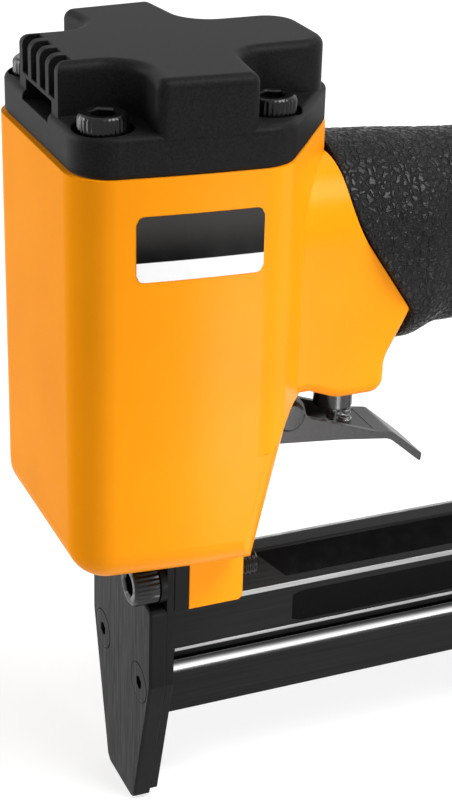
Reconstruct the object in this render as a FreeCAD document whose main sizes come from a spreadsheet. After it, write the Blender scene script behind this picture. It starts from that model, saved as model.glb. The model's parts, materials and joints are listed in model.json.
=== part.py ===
import FreeCAD, Part
import math
import os

import Sketcher

# Pneumatic stapler for fine wire staples.
# Frame: the origin is where a staple leaves the nose, on the drive line.
# +X runs back along the magazine and the handle, +Z runs up the drive line,
# and the tool is symmetric about Y = 0. All sizes are in millimetres, all angles in degrees.

DOC = FreeCAD.newDocument("pneumatic_stapler")

# Driving dimensions, one cell each
SIZES = {
    # nose
    "nose_rise": 60.4,
    "nose_width": 32.0,
    "nose_tip_width": 14.9,
    "nose_taper_rise": 31.9,
    "nose_plate_thick": 3.3,
    "nose_tip_chamfer": 1.2,
    "guide_thick": 1.5,
    "guide_tip_step": 1.3,
    "channel_width": 13.1,
    "channel_depth": 1.1,
    "plate_screw_half": 10.2,
    "plate_screw_rise": 29.8,
    "nose_block_thick": 2.8,
    "nose_block_half": 16.1,
    "nose_screw_half": 12.3,
    "nose_screw_lift": 5.2,
    "nose_screw_length": 20.5,
    "nose_washer_thick": 1.3,
    "nose_washer_radius": 4.4,
    # screws
    "large_shaft_radius": 2.5,
    "large_head_radius": 4.25,
    "large_head_height": 5.0,
    "large_key_radius": 2.31,
    "small_shaft_radius": 2.0,
    "small_head_radius": 3.5,
    "small_head_height": 4.0,
    "small_key_radius": 1.73,
    "sunk_head_radius": 4.0,
    "sunk_key_radius": 1.44,
    "key_depth_share": 0.55,
    "thread_gap": 0.05,
    "hole_gap": 0.2,
    # head casting
    "head_top": 136.0,
    "head_front": 18.8,
    "head_half": 23.2,
    "head_middle": 2.0,
    "head_middle_half": 25.5,
    "head_middle_round": 200.0,
    "head_wide": 26.3,
    "head_front_round": 7.2,
    "head_low_round": 6.5,
    "head_side_end": 17.3,
    "head_side_round": 8.0,
    "head_hip": 24.4,
    "head_hip_half": 17.6,
    "head_hip_round": 8.0,
    "head_rear": 34.0,
    "head_rear_half": 4.8,
    "head_rear_round": 4.5,
    "waist_low": 14.7,
    "waist_high": 20.4,
    "arch_drop": 22.0,
    "arch_round": 2.8,
    "waist_round": 6.8,
    "leg_half": 16.3,
    "leg_low": 48.1,
    "leg_rear": 15.6,
    "leg_round": 1.2,
    "chamber_radius": 15.2,
    "chamber_floor": 67.0,
    "seat_height": 4.0,
    # handle
    "handle_drop": 25.0,
    "root_start": 8.0,
    "root_top_lift": 19.5,
    "root_crown_round": 13.0,
    "root_edge": 2.5,
    "root_neck_lift": 8.6,
    "root_neck_round": 6.0,
    "parting_top": 33.6,
    "parting_knee": 34.4,
    "parting_knee_lift": 10.0,
    "parting_round": 20.0,
    "parting_low": 47.0,
    "parting_low_drop": 8.8,
    "boss_drop": 24.1,
    "boss_front": 27.6,
    "boss_flat": 33.0,
    "boss_rear": 42.6,
    "boss_round": 3.0,
    "valve_boss_rear": 46.4,
    "valve_boss_half": 9.5,
    "valve_boss_round": 6.5,
    "core_radius": 15.5,
    "core_bore": 12.5,
    "core_end": 163.0,
    "collar_length": 5.0,
    "collar_radius": 18.9,
    "grip_neck": 56.0,
    "grip_neck_round": 8.0,
    "grip_radius": 17.4,
    "grip_bead_radius": 18.9,
    "grip_bead_length": 6.0,
    "grip_lip_radius": 19.3,
    "grip_lip_end": 50.6,
    # exhaust cap
    "gasket_thick": 0.6,
    "flange_height": 6.4,
    "cap_height": 15.4,
    "cap_inset": 0.2,
    "cap_front_inset": 0.5,
    "cap_front": 5.5,
    "cap_rear": 12.0,
    "fins_front": 17.4,
    "fins_half": 10.4,
    "fin_thick": 1.8,
    "fin_depth": 4.2,
    "fin_drop": 6.4,
    "fin_sweep": 6.0,
    "spine_half": 10.2,
    "cap_edge": 1.8,
    "cap_inner_edge": 1.2,
    "slot_half": 7.0,
    "slot_low": 4.7,
    "slot_height": 3.6,
    "cap_screw_front": 12.15,
    "cap_screw_front_edge": 5.8,
    "cap_screw_rear": 17.9,
    "cap_screw_rear_edge": 9.9,
    "cap_screw_grip": 10.0,
    "cap_screw_sink": 2.4,
    "screw_well_gap": 0.9,
    # head valve
    "valve_wide_radius": 14.9,
    "valve_bore_radius": 15.0,
    "valve_wide_height": 4.2,
    "valve_neck_radius": 10.9,
    "neck_bore_radius": 11.0,
    "valve_neck_rise": 10.0,
    "valve_pocket_radius": 8.0,
    "valve_pocket_depth": 5.0,
    "cap_roof": 3.0,
    "valve_bore_height": 5.0,
    # cylinder and piston
    "sleeve_radius": 14.0,
    "sleeve_bore": 12.5,
    "sleeve_top": 134.8,
    "sleeve_seat_gap": 0.05,
    "sleeve_collar_low": 88.0,
    "sleeve_collar_height": 6.0,
    "sleeve_port_radius": 1.2,
    "sleeve_port_rise": 80.0,
    "bumper_height": 9.8,
    "bumper_gap": 0.1,
    "piston_gap": 0.05,
    "piston_height": 9.0,
    "piston_top_gap": 0.8,
    "stroke": 48.0,
    "ring_radius": 0.62,
    "ring_gap": 0.05,
    "driver_width": 12.6,
    "driver_thick": 1.0,
    "driver_root": 6.0,
    "driver_slot_gap": 0.1,
    "driver_pin_radius": 1.5,
    "seal_length": 20.0,
    "seal_width": 6.0,
    "seal_height": 3.0,
    # magazine
    "rail_bevel": 4.1,
    "rail_top_half": 1.6,
    "rail_shoulder": 44.9,
    "rail_half": 9.1,
    "rail_skirt": 34.3,
    "rail_roof": 44.6,
    "rail_web": 0.8,
    "rail_foot": 27.0,
    "tee_low": 29.8,
    "tee_high": 30.9,
    "tee_half": 8.0,
    "rail_end": 184.0,
    "rail_seat_lift": 1.5,
    "crown_half": 6.7,
    "slide_low": 20.6,
    "slide_high": 29.3,
    "slide_half": 9.1,
    "slide_wall": 0.5,
    "slide_floor": 1.6,
    "liner_high": 32.0,
    "liner_wall": 0.5,
    "lip_low": 31.2,
    "lip_reach": 7.6,
    "staple_rail_half": 5.85,
    "staple_rail_top": 43.7,
    "staple_rail_wall": 1.0,
    "staple_rail_slot": 3.2,
    "slide_front_gap": 0.3,
    "end_block_length": 12.0,
    "end_block_gap": 0.1,
    "end_block_top": 42.5,
    "end_gap": 0.5,
    "pusher_length": 22.0,
    "pusher_gap": 0.15,
    "pusher_start": 3.2,
    "pusher_tongue": 2.6,
    "rod_radius": 1.2,
    "rod_rise": 34.5,
    "pusher_spring_radius": 3.2,
    # rear of the tool
    "arm_thick": 6.0,
    "arm_half": 8.0,
    "foot_front": 156.0,
    "foot_rear": 173.0,
    "foot_height": 3.4,
    "cap_end_length": 8.0,
    "end_cap_radius": 18.9,
    "end_screw_circle": 15.7,
    "end_screw_grip": 18.5,
    "inlet_radius": 6.4,
    "filter_thick": 2.5,
    "plug_hex": 8.0,
    "plug_hex_radius": 9.2,
    "plug_length": 24.0,
    "plug_radius": 5.9,
    "plug_neck_radius": 4.3,
    "plug_tip_radius": 5.0,
    "plug_bore": 2.6,
    # latch
    "catch_front": 176.0,
    "catch_length": 6.0,
    "catch_height": 1.4,
    "catch_half": 6.0,
    "latch_half": 6.0,
    "latch_thick": 2.0,
    "latch_gap": 0.3,
    "latch_front": 173.6,
    "latch_pivot": 188.5,
    "latch_pivot_rise": 46.7,
    "latch_tail": 206.0,
    "latch_pin_radius": 1.5,
    "latch_spring_radius": 1.8,
    # trigger
    "pivot_run": 28.6,
    "pivot_rise": 79.4,
    "pivot_radius": 1.25,
    "pivot_head_radius": 3.0,
    "pivot_head_thick": 1.0,
    "trigger_half": 6.0,
    "trigger_sheet": 1.2,
    "trigger_front": 24.0,
    "trigger_front_low": 74.1,
    "trigger_mid": 40.1,
    "trigger_mid_low": 72.4,
    "trigger_bend": 50.4,
    "trigger_bend_low": 70.9,
    "trigger_tip": 57.8,
    "trigger_tip_low": 64.4,
    "trigger_tip_round": 3.0,
    "trigger_wall_top": 82.9,
    "trigger_wall_rear": 31.2,
    "trigger_wall_low": 78.3,
    "trigger_wall_end": 47.5,
    "bracket_half": 4.3,
    "bracket_round": 2.3,
    "trigger_valve_run": 40.6,
    "valve_body_radius": 4.6,
    "valve_collar_radius": 5.4,
    "valve_collar_height": 1.2,
    "valve_nose_radius": 3.8,
    "valve_nose_height": 8.0,
    "stem_radius": 1.1,
    "stem_gap": 0.05,
    "stem_clear": 0.3,
    "stem_length": 20.8,
    "stem_collar_radius": 3.0,
    "stem_collar_height": 1.5,
    "stem_chamber_radius": 3.6,
    "stem_chamber_height": 8.0,
    "trigger_spring_run": 43.3,
    "trigger_spring_radius": 1.15,
    "trigger_wire_radius": 0.2,
    "trigger_washer_radius": 1.45,
    "trigger_washer_thick": 0.5,
    # shared
    "seam_gap": 0.3,
    "overrun": 5.0,
}
TRIGGER_SPRING_TURNS = 3
FIN_GROOVES = 4


class Size:
    """A size worked out from the sheet: its value now, and the formula that ties it there."""

    def __init__(self, value, formula):
        self.value = value
        self.formula = formula

    def __add__(self, other):
        other = size_of(other)
        return Size(self.value + other.value, "(" + self.formula + " + " + other.formula + ")")

    def __sub__(self, other):
        other = size_of(other)
        return Size(self.value - other.value, "(" + self.formula + " - " + other.formula + ")")

    def __mul__(self, other):
        other = size_of(other)
        return Size(self.value * other.value, "(" + self.formula + " * " + other.formula + ")")

    def __truediv__(self, other):
        other = size_of(other)
        return Size(self.value / other.value, "(" + self.formula + " / " + other.formula + ")")

    def __neg__(self):
        return Size(-self.value, "(0 - " + self.formula + ")")


def size_of(number):
    if isinstance(number, Size):
        return number
    return Size(float(number), repr(float(number)))


class Sheet:
    """The spreadsheet that holds every driving dimension, read by name."""

    def __init__(self, sizes):
        self.page = DOC.addObject("Spreadsheet::Sheet", "Sizes")
        for row, (name, value) in enumerate(sizes.items(), start=1):
            self.page.set("A%d" % row, name)
            self.page.set("B%d" % row, str(value))
            self.page.setAlias("B%d" % row, name)
        DOC.recompute()

    def __getattr__(self, name):
        return Size(float(self.page.get(name)), "Sizes." + name)


q = Sheet(SIZES)
ZERO = size_of(0)
SUBPARTS = []


def bind(thing, name, size):
    thing.setExpression(name, size_of(size).formula)


def place(thing, x=0, y=0, z=0, turn=None):
    """Puts a finished sub-part at its place, tied to the sheet."""
    if turn is not None:
        thing.Placement = FreeCAD.Placement(FreeCAD.Vector(), turn)
    for axis, size in zip("xyz", (x, y, z)):
        if size_of(size).value or isinstance(size, Size):
            bind(thing, "Placement.Base." + axis, size)
    return thing


def keep(thing, label):
    """Names a finished sub-part and lists it for writing."""
    thing.Label = label
    SUBPARTS.append(thing)
    return thing


def turned(axis, degrees):
    return FreeCAD.Rotation(FreeCAD.Vector(*axis), degrees)


ALONG_X = turned((0, 1, 0), 90)
ALONG_MINUS_X = turned((0, 1, 0), -90)
ALONG_MINUS_Y = turned((1, 0, 0), 90)
HEAD_DOWN = turned((1, 0, 0), 180)

# Sketch drawing


class Circle:
    def __init__(self, x, y, radius):
        self.x = size_of(x)
        self.y = size_of(y)
        self.radius = size_of(radius)


def tie(sketch, kind, refs, size):
    """A dimension in a sketch whose value follows the sheet."""
    size = size_of(size)
    index = sketch.addConstraint(Sketcher.Constraint(kind, *refs, size.value))
    name = "size%d" % index
    sketch.renameConstraint(index, name)
    sketch.setExpression("Constraints." + name, size.formula)


def tie_point(sketch, geometry, end, x, y):
    tie(sketch, "DistanceX", (-1, 1, geometry, end), x)
    tie(sketch, "DistanceY", (-1, 1, geometry, end), y)


def draw_circle(sketch, circle):
    centre = FreeCAD.Vector(circle.x.value, circle.y.value, 0)
    index = sketch.addGeometry(Part.Circle(centre, FreeCAD.Vector(0, 0, 1), circle.radius.value), False)
    tie_point(sketch, index, 3, circle.x, circle.y)
    tie(sketch, "Radius", (index,), circle.radius)


def corner_points(before, corner, after, radius):
    """Where a rounding of this radius leaves its two straight sides, and its centre."""
    towards = (before - corner).normalize()
    onwards = (after - corner).normalize()
    half = towards.getAngle(onwards) / 2
    reach = radius / math.tan(half)
    centre = corner + (towards + onwards).normalize() * (radius / math.sin(half))
    return corner + towards * reach, corner + onwards * reach, centre


def draw_outline(sketch, corners):
    """A closed outline through corners (x, y), rounded where a corner gives (x, y, radius)."""
    spots = [FreeCAD.Vector(size_of(c[0]).value, size_of(c[1]).value, 0) for c in corners]
    count = len(corners)
    ends = []
    for i, corner in enumerate(corners):
        if len(corner) == 3:
            ends.append(corner_points(spots[i - 1], spots[i], spots[(i + 1) % count],
                                      size_of(corner[2]).value))
        else:
            ends.append((spots[i], spots[i], None))
    lines = []
    for i in range(count):
        line = Part.LineSegment(ends[i][1], ends[(i + 1) % count][0])
        lines.append(sketch.addGeometry(line, False))
    for i, corner in enumerate(corners):
        arriving = lines[i - 1]
        leaving = lines[i]
        if len(corner) == 2:
            sketch.addConstraint(Sketcher.Constraint("Coincident", arriving, 2, leaving, 1))
            tie_point(sketch, leaving, 1, corner[0], corner[1])
            continue
        start, finish, centre = ends[i]
        angle_start = math.atan2(start.y - centre.y, start.x - centre.x)
        angle_finish = math.atan2(finish.y - centre.y, finish.x - centre.x)
        bend = (spots[i] - spots[i - 1]).cross(spots[(i + 1) % count] - spots[i]).z
        circle = Part.Circle(centre, FreeCAD.Vector(0, 0, 1), size_of(corner[2]).value)
        if bend > 0:
            arc = sketch.addGeometry(Part.ArcOfCircle(circle, angle_start, angle_finish), False)
            arc_in, arc_out = 1, 2
        else:
            arc = sketch.addGeometry(Part.ArcOfCircle(circle, angle_finish, angle_start), False)
            arc_in, arc_out = 2, 1
        apex = sketch.addGeometry(Part.Point(spots[i]), True)
        tie_point(sketch, apex, 1, corner[0], corner[1])
        sketch.addConstraint(Sketcher.Constraint("PointOnObject", apex, 1, arriving))
        sketch.addConstraint(Sketcher.Constraint("PointOnObject", apex, 1, leaving))
        sketch.addConstraint(Sketcher.Constraint("Tangent", arriving, 2, arc, arc_in))
        sketch.addConstraint(Sketcher.Constraint("Tangent", arc, arc_out, leaving, 1))
        tie(sketch, "Radius", (arc,), corner[2])


def rectangle(x_low, x_high, y_low, y_high):
    return [(x_low, y_low), (x_high, y_low), (x_high, y_high), (x_low, y_high)]


def mirrored(half):
    """The whole outline of a shape symmetric about its vertical axis, from its right half."""
    left = [(-size_of(corner[0]),) + tuple(corner[1:]) for corner in reversed(half)]
    return list(half) + left


def both_sides(half):
    """The whole outline of a shape symmetric about its level axis, from its upper half."""
    lower = [(corner[0], -size_of(corner[1])) + tuple(corner[2:]) for corner in half]
    return lower + list(reversed(half))


# Features of a body


def new_body(name):
    return DOC.addObject("PartDesign::Body", name)


def sketch_on(body, plane, offset=ZERO, right=ZERO, up=ZERO):
    """A sketch on one of the body's own planes, moved along its normal and within it."""
    role = plane + "_Plane"
    base = [feature for feature in body.Origin.OriginFeatures if feature.Role == role][0]
    sketch = body.newObject("Sketcher::SketchObject", body.Name + "_outline")
    sketch.AttachmentSupport = [(base, "")]
    sketch.MapMode = "FlatFace"
    for axis, size in zip("xyz", (right, up, offset)):
        if size_of(size).value:
            bind(sketch, "AttachmentOffset.Base." + axis, size)
    return sketch


def fill_sketch(sketch, shapes):
    for shape in shapes:
        if isinstance(shape, Circle):
            draw_circle(sketch, shape)
        else:
            draw_outline(sketch, shape)
    sketch.Visibility = False


def add_layer(body, plane, low, high, *shapes):
    """Material between two levels along the plane's axis."""
    low, high = size_of(low), size_of(high)
    start = -high if plane == "XZ" else low
    sketch = sketch_on(body, plane, start)
    fill_sketch(sketch, shapes)
    pad = body.newObject("PartDesign::Pad", body.Name + "_pad")
    pad.Profile = sketch
    bind(pad, "Length", high - low)
    return pad


def cut_layer(body, plane, low, high, *shapes):
    """A cut between two levels along the plane's axis."""
    low, high = size_of(low), size_of(high)
    start = -low if plane == "XZ" else high
    DOC.recompute()
    before = body.Shape.Volume
    sketch = sketch_on(body, plane, start)
    fill_sketch(sketch, shapes)
    pocket = body.newObject("PartDesign::Pocket", body.Name + "_pocket")
    pocket.Profile = sketch
    bind(pocket, "Length", high - low)
    DOC.recompute()
    if body.Shape.Volume >= before:
        raise RuntimeError("a pocket of " + body.Name + " cut nothing")
    return pocket


def cut_taper(body, levels, outlines):
    """A cut whose plan runs evenly from each outline to the next, one outline per level."""
    DOC.recompute()
    before = body.Shape.Volume
    sections = []
    for level, outline in zip(levels, outlines):
        sections.append(sketch_on(body, "XY", level))
        fill_sketch(sections[-1], [outline])
    loft = body.newObject("PartDesign::SubtractiveLoft", body.Name + "_taper")
    loft.Profile = sections[0]
    loft.Sections = sections[1:]
    loft.Ruled = True
    DOC.recompute()
    if "Invalid" in loft.State or body.Shape.Volume >= before:
        raise RuntimeError("a tapered cut of " + body.Name + " cut nothing")
    return loft


def turn_profile(body, profile, axis="V", right=ZERO, up=ZERO, back=ZERO, cut=False):
    """A profile drawn in the upright plane and turned about its vertical (V) or level (H) axis."""
    DOC.recompute()
    before = body.Shape.Volume if cut else 0
    sketch = sketch_on(body, "XZ", -size_of(back), right, up)
    fill_sketch(sketch, [profile])
    kind = "PartDesign::Groove" if cut else "PartDesign::Revolution"
    turned_part = body.newObject(kind, body.Name + "_turned")
    turned_part.Profile = sketch
    turned_part.ReferenceAxis = (sketch, [axis + "_Axis"])
    turned_part.Angle = 360
    DOC.recompute()
    if cut and body.Shape.Volume >= before:
        raise RuntimeError("a groove of " + body.Name + " cut nothing")
    return turned_part


def round_edges(body, radius, wanted, kind="Fillet"):
    """Rounds the edges whose middle passes the test."""
    DOC.recompute()
    tip = body.Tip
    names = []
    for number, edge in enumerate(tip.Shape.Edges, start=1):
        middle = edge.valueAt((edge.FirstParameter + edge.LastParameter) / 2)
        if wanted(edge, middle):
            names.append("Edge%d" % number)
    if not names:
        raise RuntimeError("no edge of " + body.Name + " fits the rounding")
    dressed = body.newObject("PartDesign::" + kind, body.Name + "_edges")
    dressed.Base = (tip, names)
    bind(dressed, "Size" if kind == "Chamfer" else "Radius", radius)
    DOC.recompute()
    if "Invalid" in dressed.State or dressed.Shape.isNull():
        raise RuntimeError("the edges of " + body.Name + " take no rounding")
    return dressed


def near(value, target, slack=0.05):
    return abs(value - size_of(target).value) <= slack


def group(label, members):
    """Identical pieces that share one node."""
    made = DOC.addObject("Part::Compound", label)
    made.Links = members
    return keep(made, label)


def hexagon(radius):
    radius = size_of(radius)
    corners = []
    for step in range(6):
        angle = math.radians(60 * step)
        corners.append((radius * math.cos(angle), radius * math.sin(angle)))
    return corners


def socket_screw(name, shaft, head_radius, head_height, key_radius, length):
    """A cap screw standing on Z = 0 with its head up and its shaft down."""
    body = new_body(name)
    edge = head_height / 12
    turn_profile(body, [(0, -length), (shaft - edge, -length), (shaft, -length + edge), (shaft, 0),
                        (head_radius, 0), (head_radius, head_height - edge),
                        (head_radius - edge, head_height), (0, head_height)])
    cut_layer(body, "XY", head_height - head_height * q.key_depth_share, head_height,
              hexagon(key_radius))
    return body


def large_screw(name, length):
    return socket_screw(name, q.large_shaft_radius, q.large_head_radius, q.large_head_height,
                        q.large_key_radius, length)


def small_screw(name, length):
    return socket_screw(name, q.small_shaft_radius, q.small_head_radius, q.small_head_height,
                        q.small_key_radius, length)


def ring(name, inner_to_centre, thickness):
    """A rubber ring lying flat about Z."""
    torus = DOC.addObject("Part::Torus", name)
    bind(torus, "Radius1", inner_to_centre)
    bind(torus, "Radius2", thickness)
    return torus


def washer(name, outer, inner, thick):
    body = new_body(name)
    add_layer(body, "XY", ZERO, thick, Circle(0, 0, outer), Circle(0, 0, inner))
    return body


# Places that several pieces share
handle_rise = q.head_top - q.handle_drop
arch_top = handle_rise - q.arch_drop
boss_low = handle_rise - q.boss_drop
root_top = handle_rise + q.root_top_lift
valve_nose_low = boss_low - q.valve_collar_height - q.valve_nose_height
rail_top = q.rail_shoulder + q.rail_bevel
rail_seat = q.rail_shoulder + q.rail_seat_lift
nose_screw_rise = q.leg_low + q.nose_screw_lift
half_channel = q.channel_depth / 2
plate_front = half_channel - q.nose_plate_thick
guide_rear = half_channel + q.guide_thick
leg_front = guide_rear + q.nose_block_thick
washer_front = half_channel - q.nose_washer_thick
cap_base = q.head_top + q.gasket_thick
flange_top = cap_base + q.flange_height
cap_top = cap_base + q.cap_height
sleeve_low = q.chamber_floor
bumper_top = q.chamber_floor + q.bumper_height
piston_top = q.sleeve_top - q.piston_top_gap
piston_low = piston_top - q.piston_height
arm_front = q.core_end + q.gasket_thick
foot_screw_run = arm_front - q.small_head_radius - q.hole_gap * 2
end_cap_front = arm_front + q.arm_thick
end_cap_rear = end_cap_front + q.cap_end_length
end_block_front = q.rail_end + q.end_gap
end_block_rear = end_block_front + q.end_block_length
end_block_half = q.slide_half - q.slide_wall - q.end_block_gap
large_hole = q.large_shaft_radius + q.thread_gap
small_hole = q.small_shaft_radius + q.thread_gap
large_way = q.large_shaft_radius + q.hole_gap
small_way = q.small_shaft_radius + q.hole_gap
SIDES = (-1, 1)


def head_outline(inset=ZERO, front_inset=ZERO):
    """Plan of the head: flat front, sides that swell rearwards and then run in to the handle."""
    inset = size_of(inset)
    half = [(-q.head_front + inset + front_inset, q.head_half - inset, q.head_front_round),
            (q.head_middle, q.head_middle_half - inset, q.head_middle_round),
            (q.head_side_end, q.head_wide - inset, q.head_side_round),
            (q.head_hip - inset, q.head_hip_half - inset, q.head_hip_round),
            (q.head_rear - inset, q.head_rear_half, q.head_rear_round)]
    return both_sides(half)


def flank(run):
    """Half the head's width at a place on its straight flank."""
    slope = (q.head_wide - q.head_middle_half) / (q.head_side_end - q.head_middle)
    return q.head_middle_half + (run - q.head_middle) * slope


def waist_outline():
    """Plan of the head below the arch: the front and the flanks, run straight out behind."""
    rear = q.waist_high + q.overrun * 2
    half = [(-q.head_front, q.head_half, q.head_front_round),
            (q.head_middle, q.head_middle_half, q.head_middle_round), (rear, flank(rear))]
    return both_sides(half)


def waist_cuts():
    """Levels and plans of what is cut away behind the waist, which flares into the arch."""
    steps = [(q.waist_low, q.nose_rise), (q.waist_high, arch_top - q.arch_round),
             (q.waist_high + q.arch_round * 0.13, arch_top - q.arch_round * 0.5),
             (q.waist_high + q.arch_round * 0.5, arch_top - q.arch_round * 0.13),
             (q.waist_high + q.arch_round, arch_top)]
    outlines = []
    for run, level in steps:
        front = run - q.waist_round * 1.2
        beyond = q.waist_high + q.overrun * 3
        reach = q.head_wide + q.overrun
        corner = flank(run) + q.thread_gap
        outlines.append([(front, -reach), (beyond, -reach), (beyond, reach), (front, reach),
                         (front, corner), (run, corner, q.waist_round),
                         (run, -corner, q.waist_round), (front, -corner)])
    return [level for run, level in steps], outlines


def magazine_saddle():
    """The roof of the magazine, which sits in the nose block and the leg, seen from behind."""
    return [(-q.rail_half, q.rail_shoulder), (q.rail_half, q.rail_shoulder),
            (q.rail_top_half, rail_top), (-q.rail_top_half, rail_top)]


def cap_screw_places():
    places = []
    for side in SIDES:
        places.append((-q.cap_screw_front, (q.head_half - q.cap_screw_front_edge) * side))
        places.append((q.cap_screw_rear, (q.head_wide - q.cap_screw_rear_edge) * side))
    return places


def end_screw_places():
    """Four places round the handle's axis, as (y, z)."""
    reach = q.end_screw_circle * math.sqrt(0.5)
    return [(reach * a, handle_rise + reach * b) for a in SIDES for b in SIDES]


# Casing


def parting_line(gap, top):
    """Side view of the seam between casting and grip, from its lowest point up."""
    return [(q.parting_low + gap, handle_rise - q.parting_low_drop),
            (q.parting_knee + gap, handle_rise + q.parting_knee_lift, q.parting_round),
            (q.parting_top + gap, top)]


def make_handle_root():
    """The flat-sided block behind the head that carries the handle and holds the trigger valve."""
    body = new_body("handle_root")
    half = q.head_hip_half
    end = q.parting_low + q.overrun
    add_layer(body, "YZ", q.root_start, end,
              [(-half, boss_low), (half, boss_low), (half, root_top, q.root_crown_round),
               (-half, root_top, q.root_crown_round)])
    above = root_top + q.overrun
    below = boss_low - q.overrun
    cut_layer(body, "XZ", -half - q.overrun, half + q.overrun,
              [(q.root_start - q.overrun, below), (q.root_start - q.overrun, arch_top),
               (q.boss_front, arch_top), (q.boss_flat, boss_low, q.root_neck_round),
               (q.boss_rear, boss_low, q.boss_round),
               (q.boss_rear, handle_rise - q.parting_low_drop - q.root_neck_lift, q.root_neck_round)]
              + parting_line(ZERO, above) + [(end + q.overrun, above), (end + q.overrun, below)])
    tip = handle_rise - q.parting_low_drop
    round_edges(body, q.root_edge, lambda edge, middle: (
        near(abs(middle.y), half) and middle.z < tip.value and middle.x > q.root_start.value))
    return body


def make_body_casting():
    root = make_handle_root()
    body = new_body("body_casting")
    add_layer(body, "XY", q.nose_rise, arch_top, waist_outline())
    round_edges(body, q.head_low_round, lambda edge, middle: (
        near(middle.z, q.nose_rise) and middle.x < q.waist_high.value + q.overrun.value))
    cut_taper(body, *waist_cuts())
    add_layer(body, "XY", arch_top, q.head_top, head_outline())
    behind = q.head_rear + q.overrun
    beside = q.head_wide + q.overrun
    cut_layer(body, "XY", arch_top - q.arch_round * 2, arch_top,
              rectangle(-behind, behind, -beside, beside), head_outline())
    DOC.recompute()
    joined = body.newObject("PartDesign::Boolean", "casting_joined")
    joined.Type = "Fuse"
    joined.setObjects([root])
    DOC.recompute()
    add_layer(body, "XY", boss_low, handle_rise - q.core_radius,
              [(q.boss_flat, -q.valve_boss_half), (q.valve_boss_rear, -q.valve_boss_half, q.valve_boss_round),
               (q.valve_boss_rear, q.valve_boss_half, q.valve_boss_round), (q.boss_flat, q.valve_boss_half)])
    turn_profile(body, [(q.root_start, 0), (q.core_end, 0), (q.core_end, q.collar_radius),
                        (q.core_end - q.collar_length, q.collar_radius),
                        (q.core_end - q.collar_length, q.core_radius),
                        (q.root_start, q.core_radius)], axis="H", up=handle_rise)
    leg_top = q.nose_rise + q.head_low_round * 1.2
    add_layer(body, "XZ", -q.leg_half, q.leg_half,
              [(leg_front, q.leg_low), (q.leg_rear, q.leg_low, q.leg_round), (q.leg_rear, leg_top),
               (leg_front, leg_top)])
    cut_layer(body, "YZ", leg_front - q.overrun, q.waist_low + q.overrun, magazine_saddle())
    cut_layer(body, "XY", q.chamber_floor + q.seat_height, q.head_top,
              Circle(0, 0, q.chamber_radius))
    cut_layer(body, "XY", q.chamber_floor, q.chamber_floor + q.seat_height,
              Circle(0, 0, q.sleeve_radius + q.sleeve_seat_gap))
    half_slot = q.driver_thick / 2 + q.driver_slot_gap * 3
    slot_reach = q.driver_width / 2 + q.driver_slot_gap * 3
    cut_layer(body, "XY", q.nose_rise, q.chamber_floor,
              rectangle(-half_slot, half_slot, -slot_reach, slot_reach))
    seal_half = q.seal_width / 2 + q.thread_gap
    seal_reach = q.seal_length / 2 + q.thread_gap
    cut_layer(body, "XY", q.nose_rise, q.nose_rise + q.seal_height,
              rectangle(-seal_half, seal_half, -seal_reach, seal_reach))
    cut_layer(body, "YZ", ZERO, q.core_end, Circle(0, handle_rise, q.core_bore))
    cut_layer(body, "XY", boss_low, handle_rise,
              Circle(q.trigger_valve_run, 0, q.valve_body_radius + q.thread_gap))
    cut_layer(body, "XY", q.head_top - q.cap_screw_grip - q.overrun, q.head_top,
              *[Circle(x, y, large_hole) for x, y in cap_screw_places()])
    cut_layer(body, "YZ", leg_front, q.waist_low + q.overrun,
              *[Circle(q.nose_screw_half * side, nose_screw_rise, large_hole) for side in SIDES])
    cut_layer(body, "YZ", q.core_end - q.end_screw_grip + q.arm_thick + q.cap_end_length - q.overrun,
              q.core_end, *[Circle(y, z, small_hole) for y, z in end_screw_places()])
    return keep(body, "body_casting")


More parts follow.
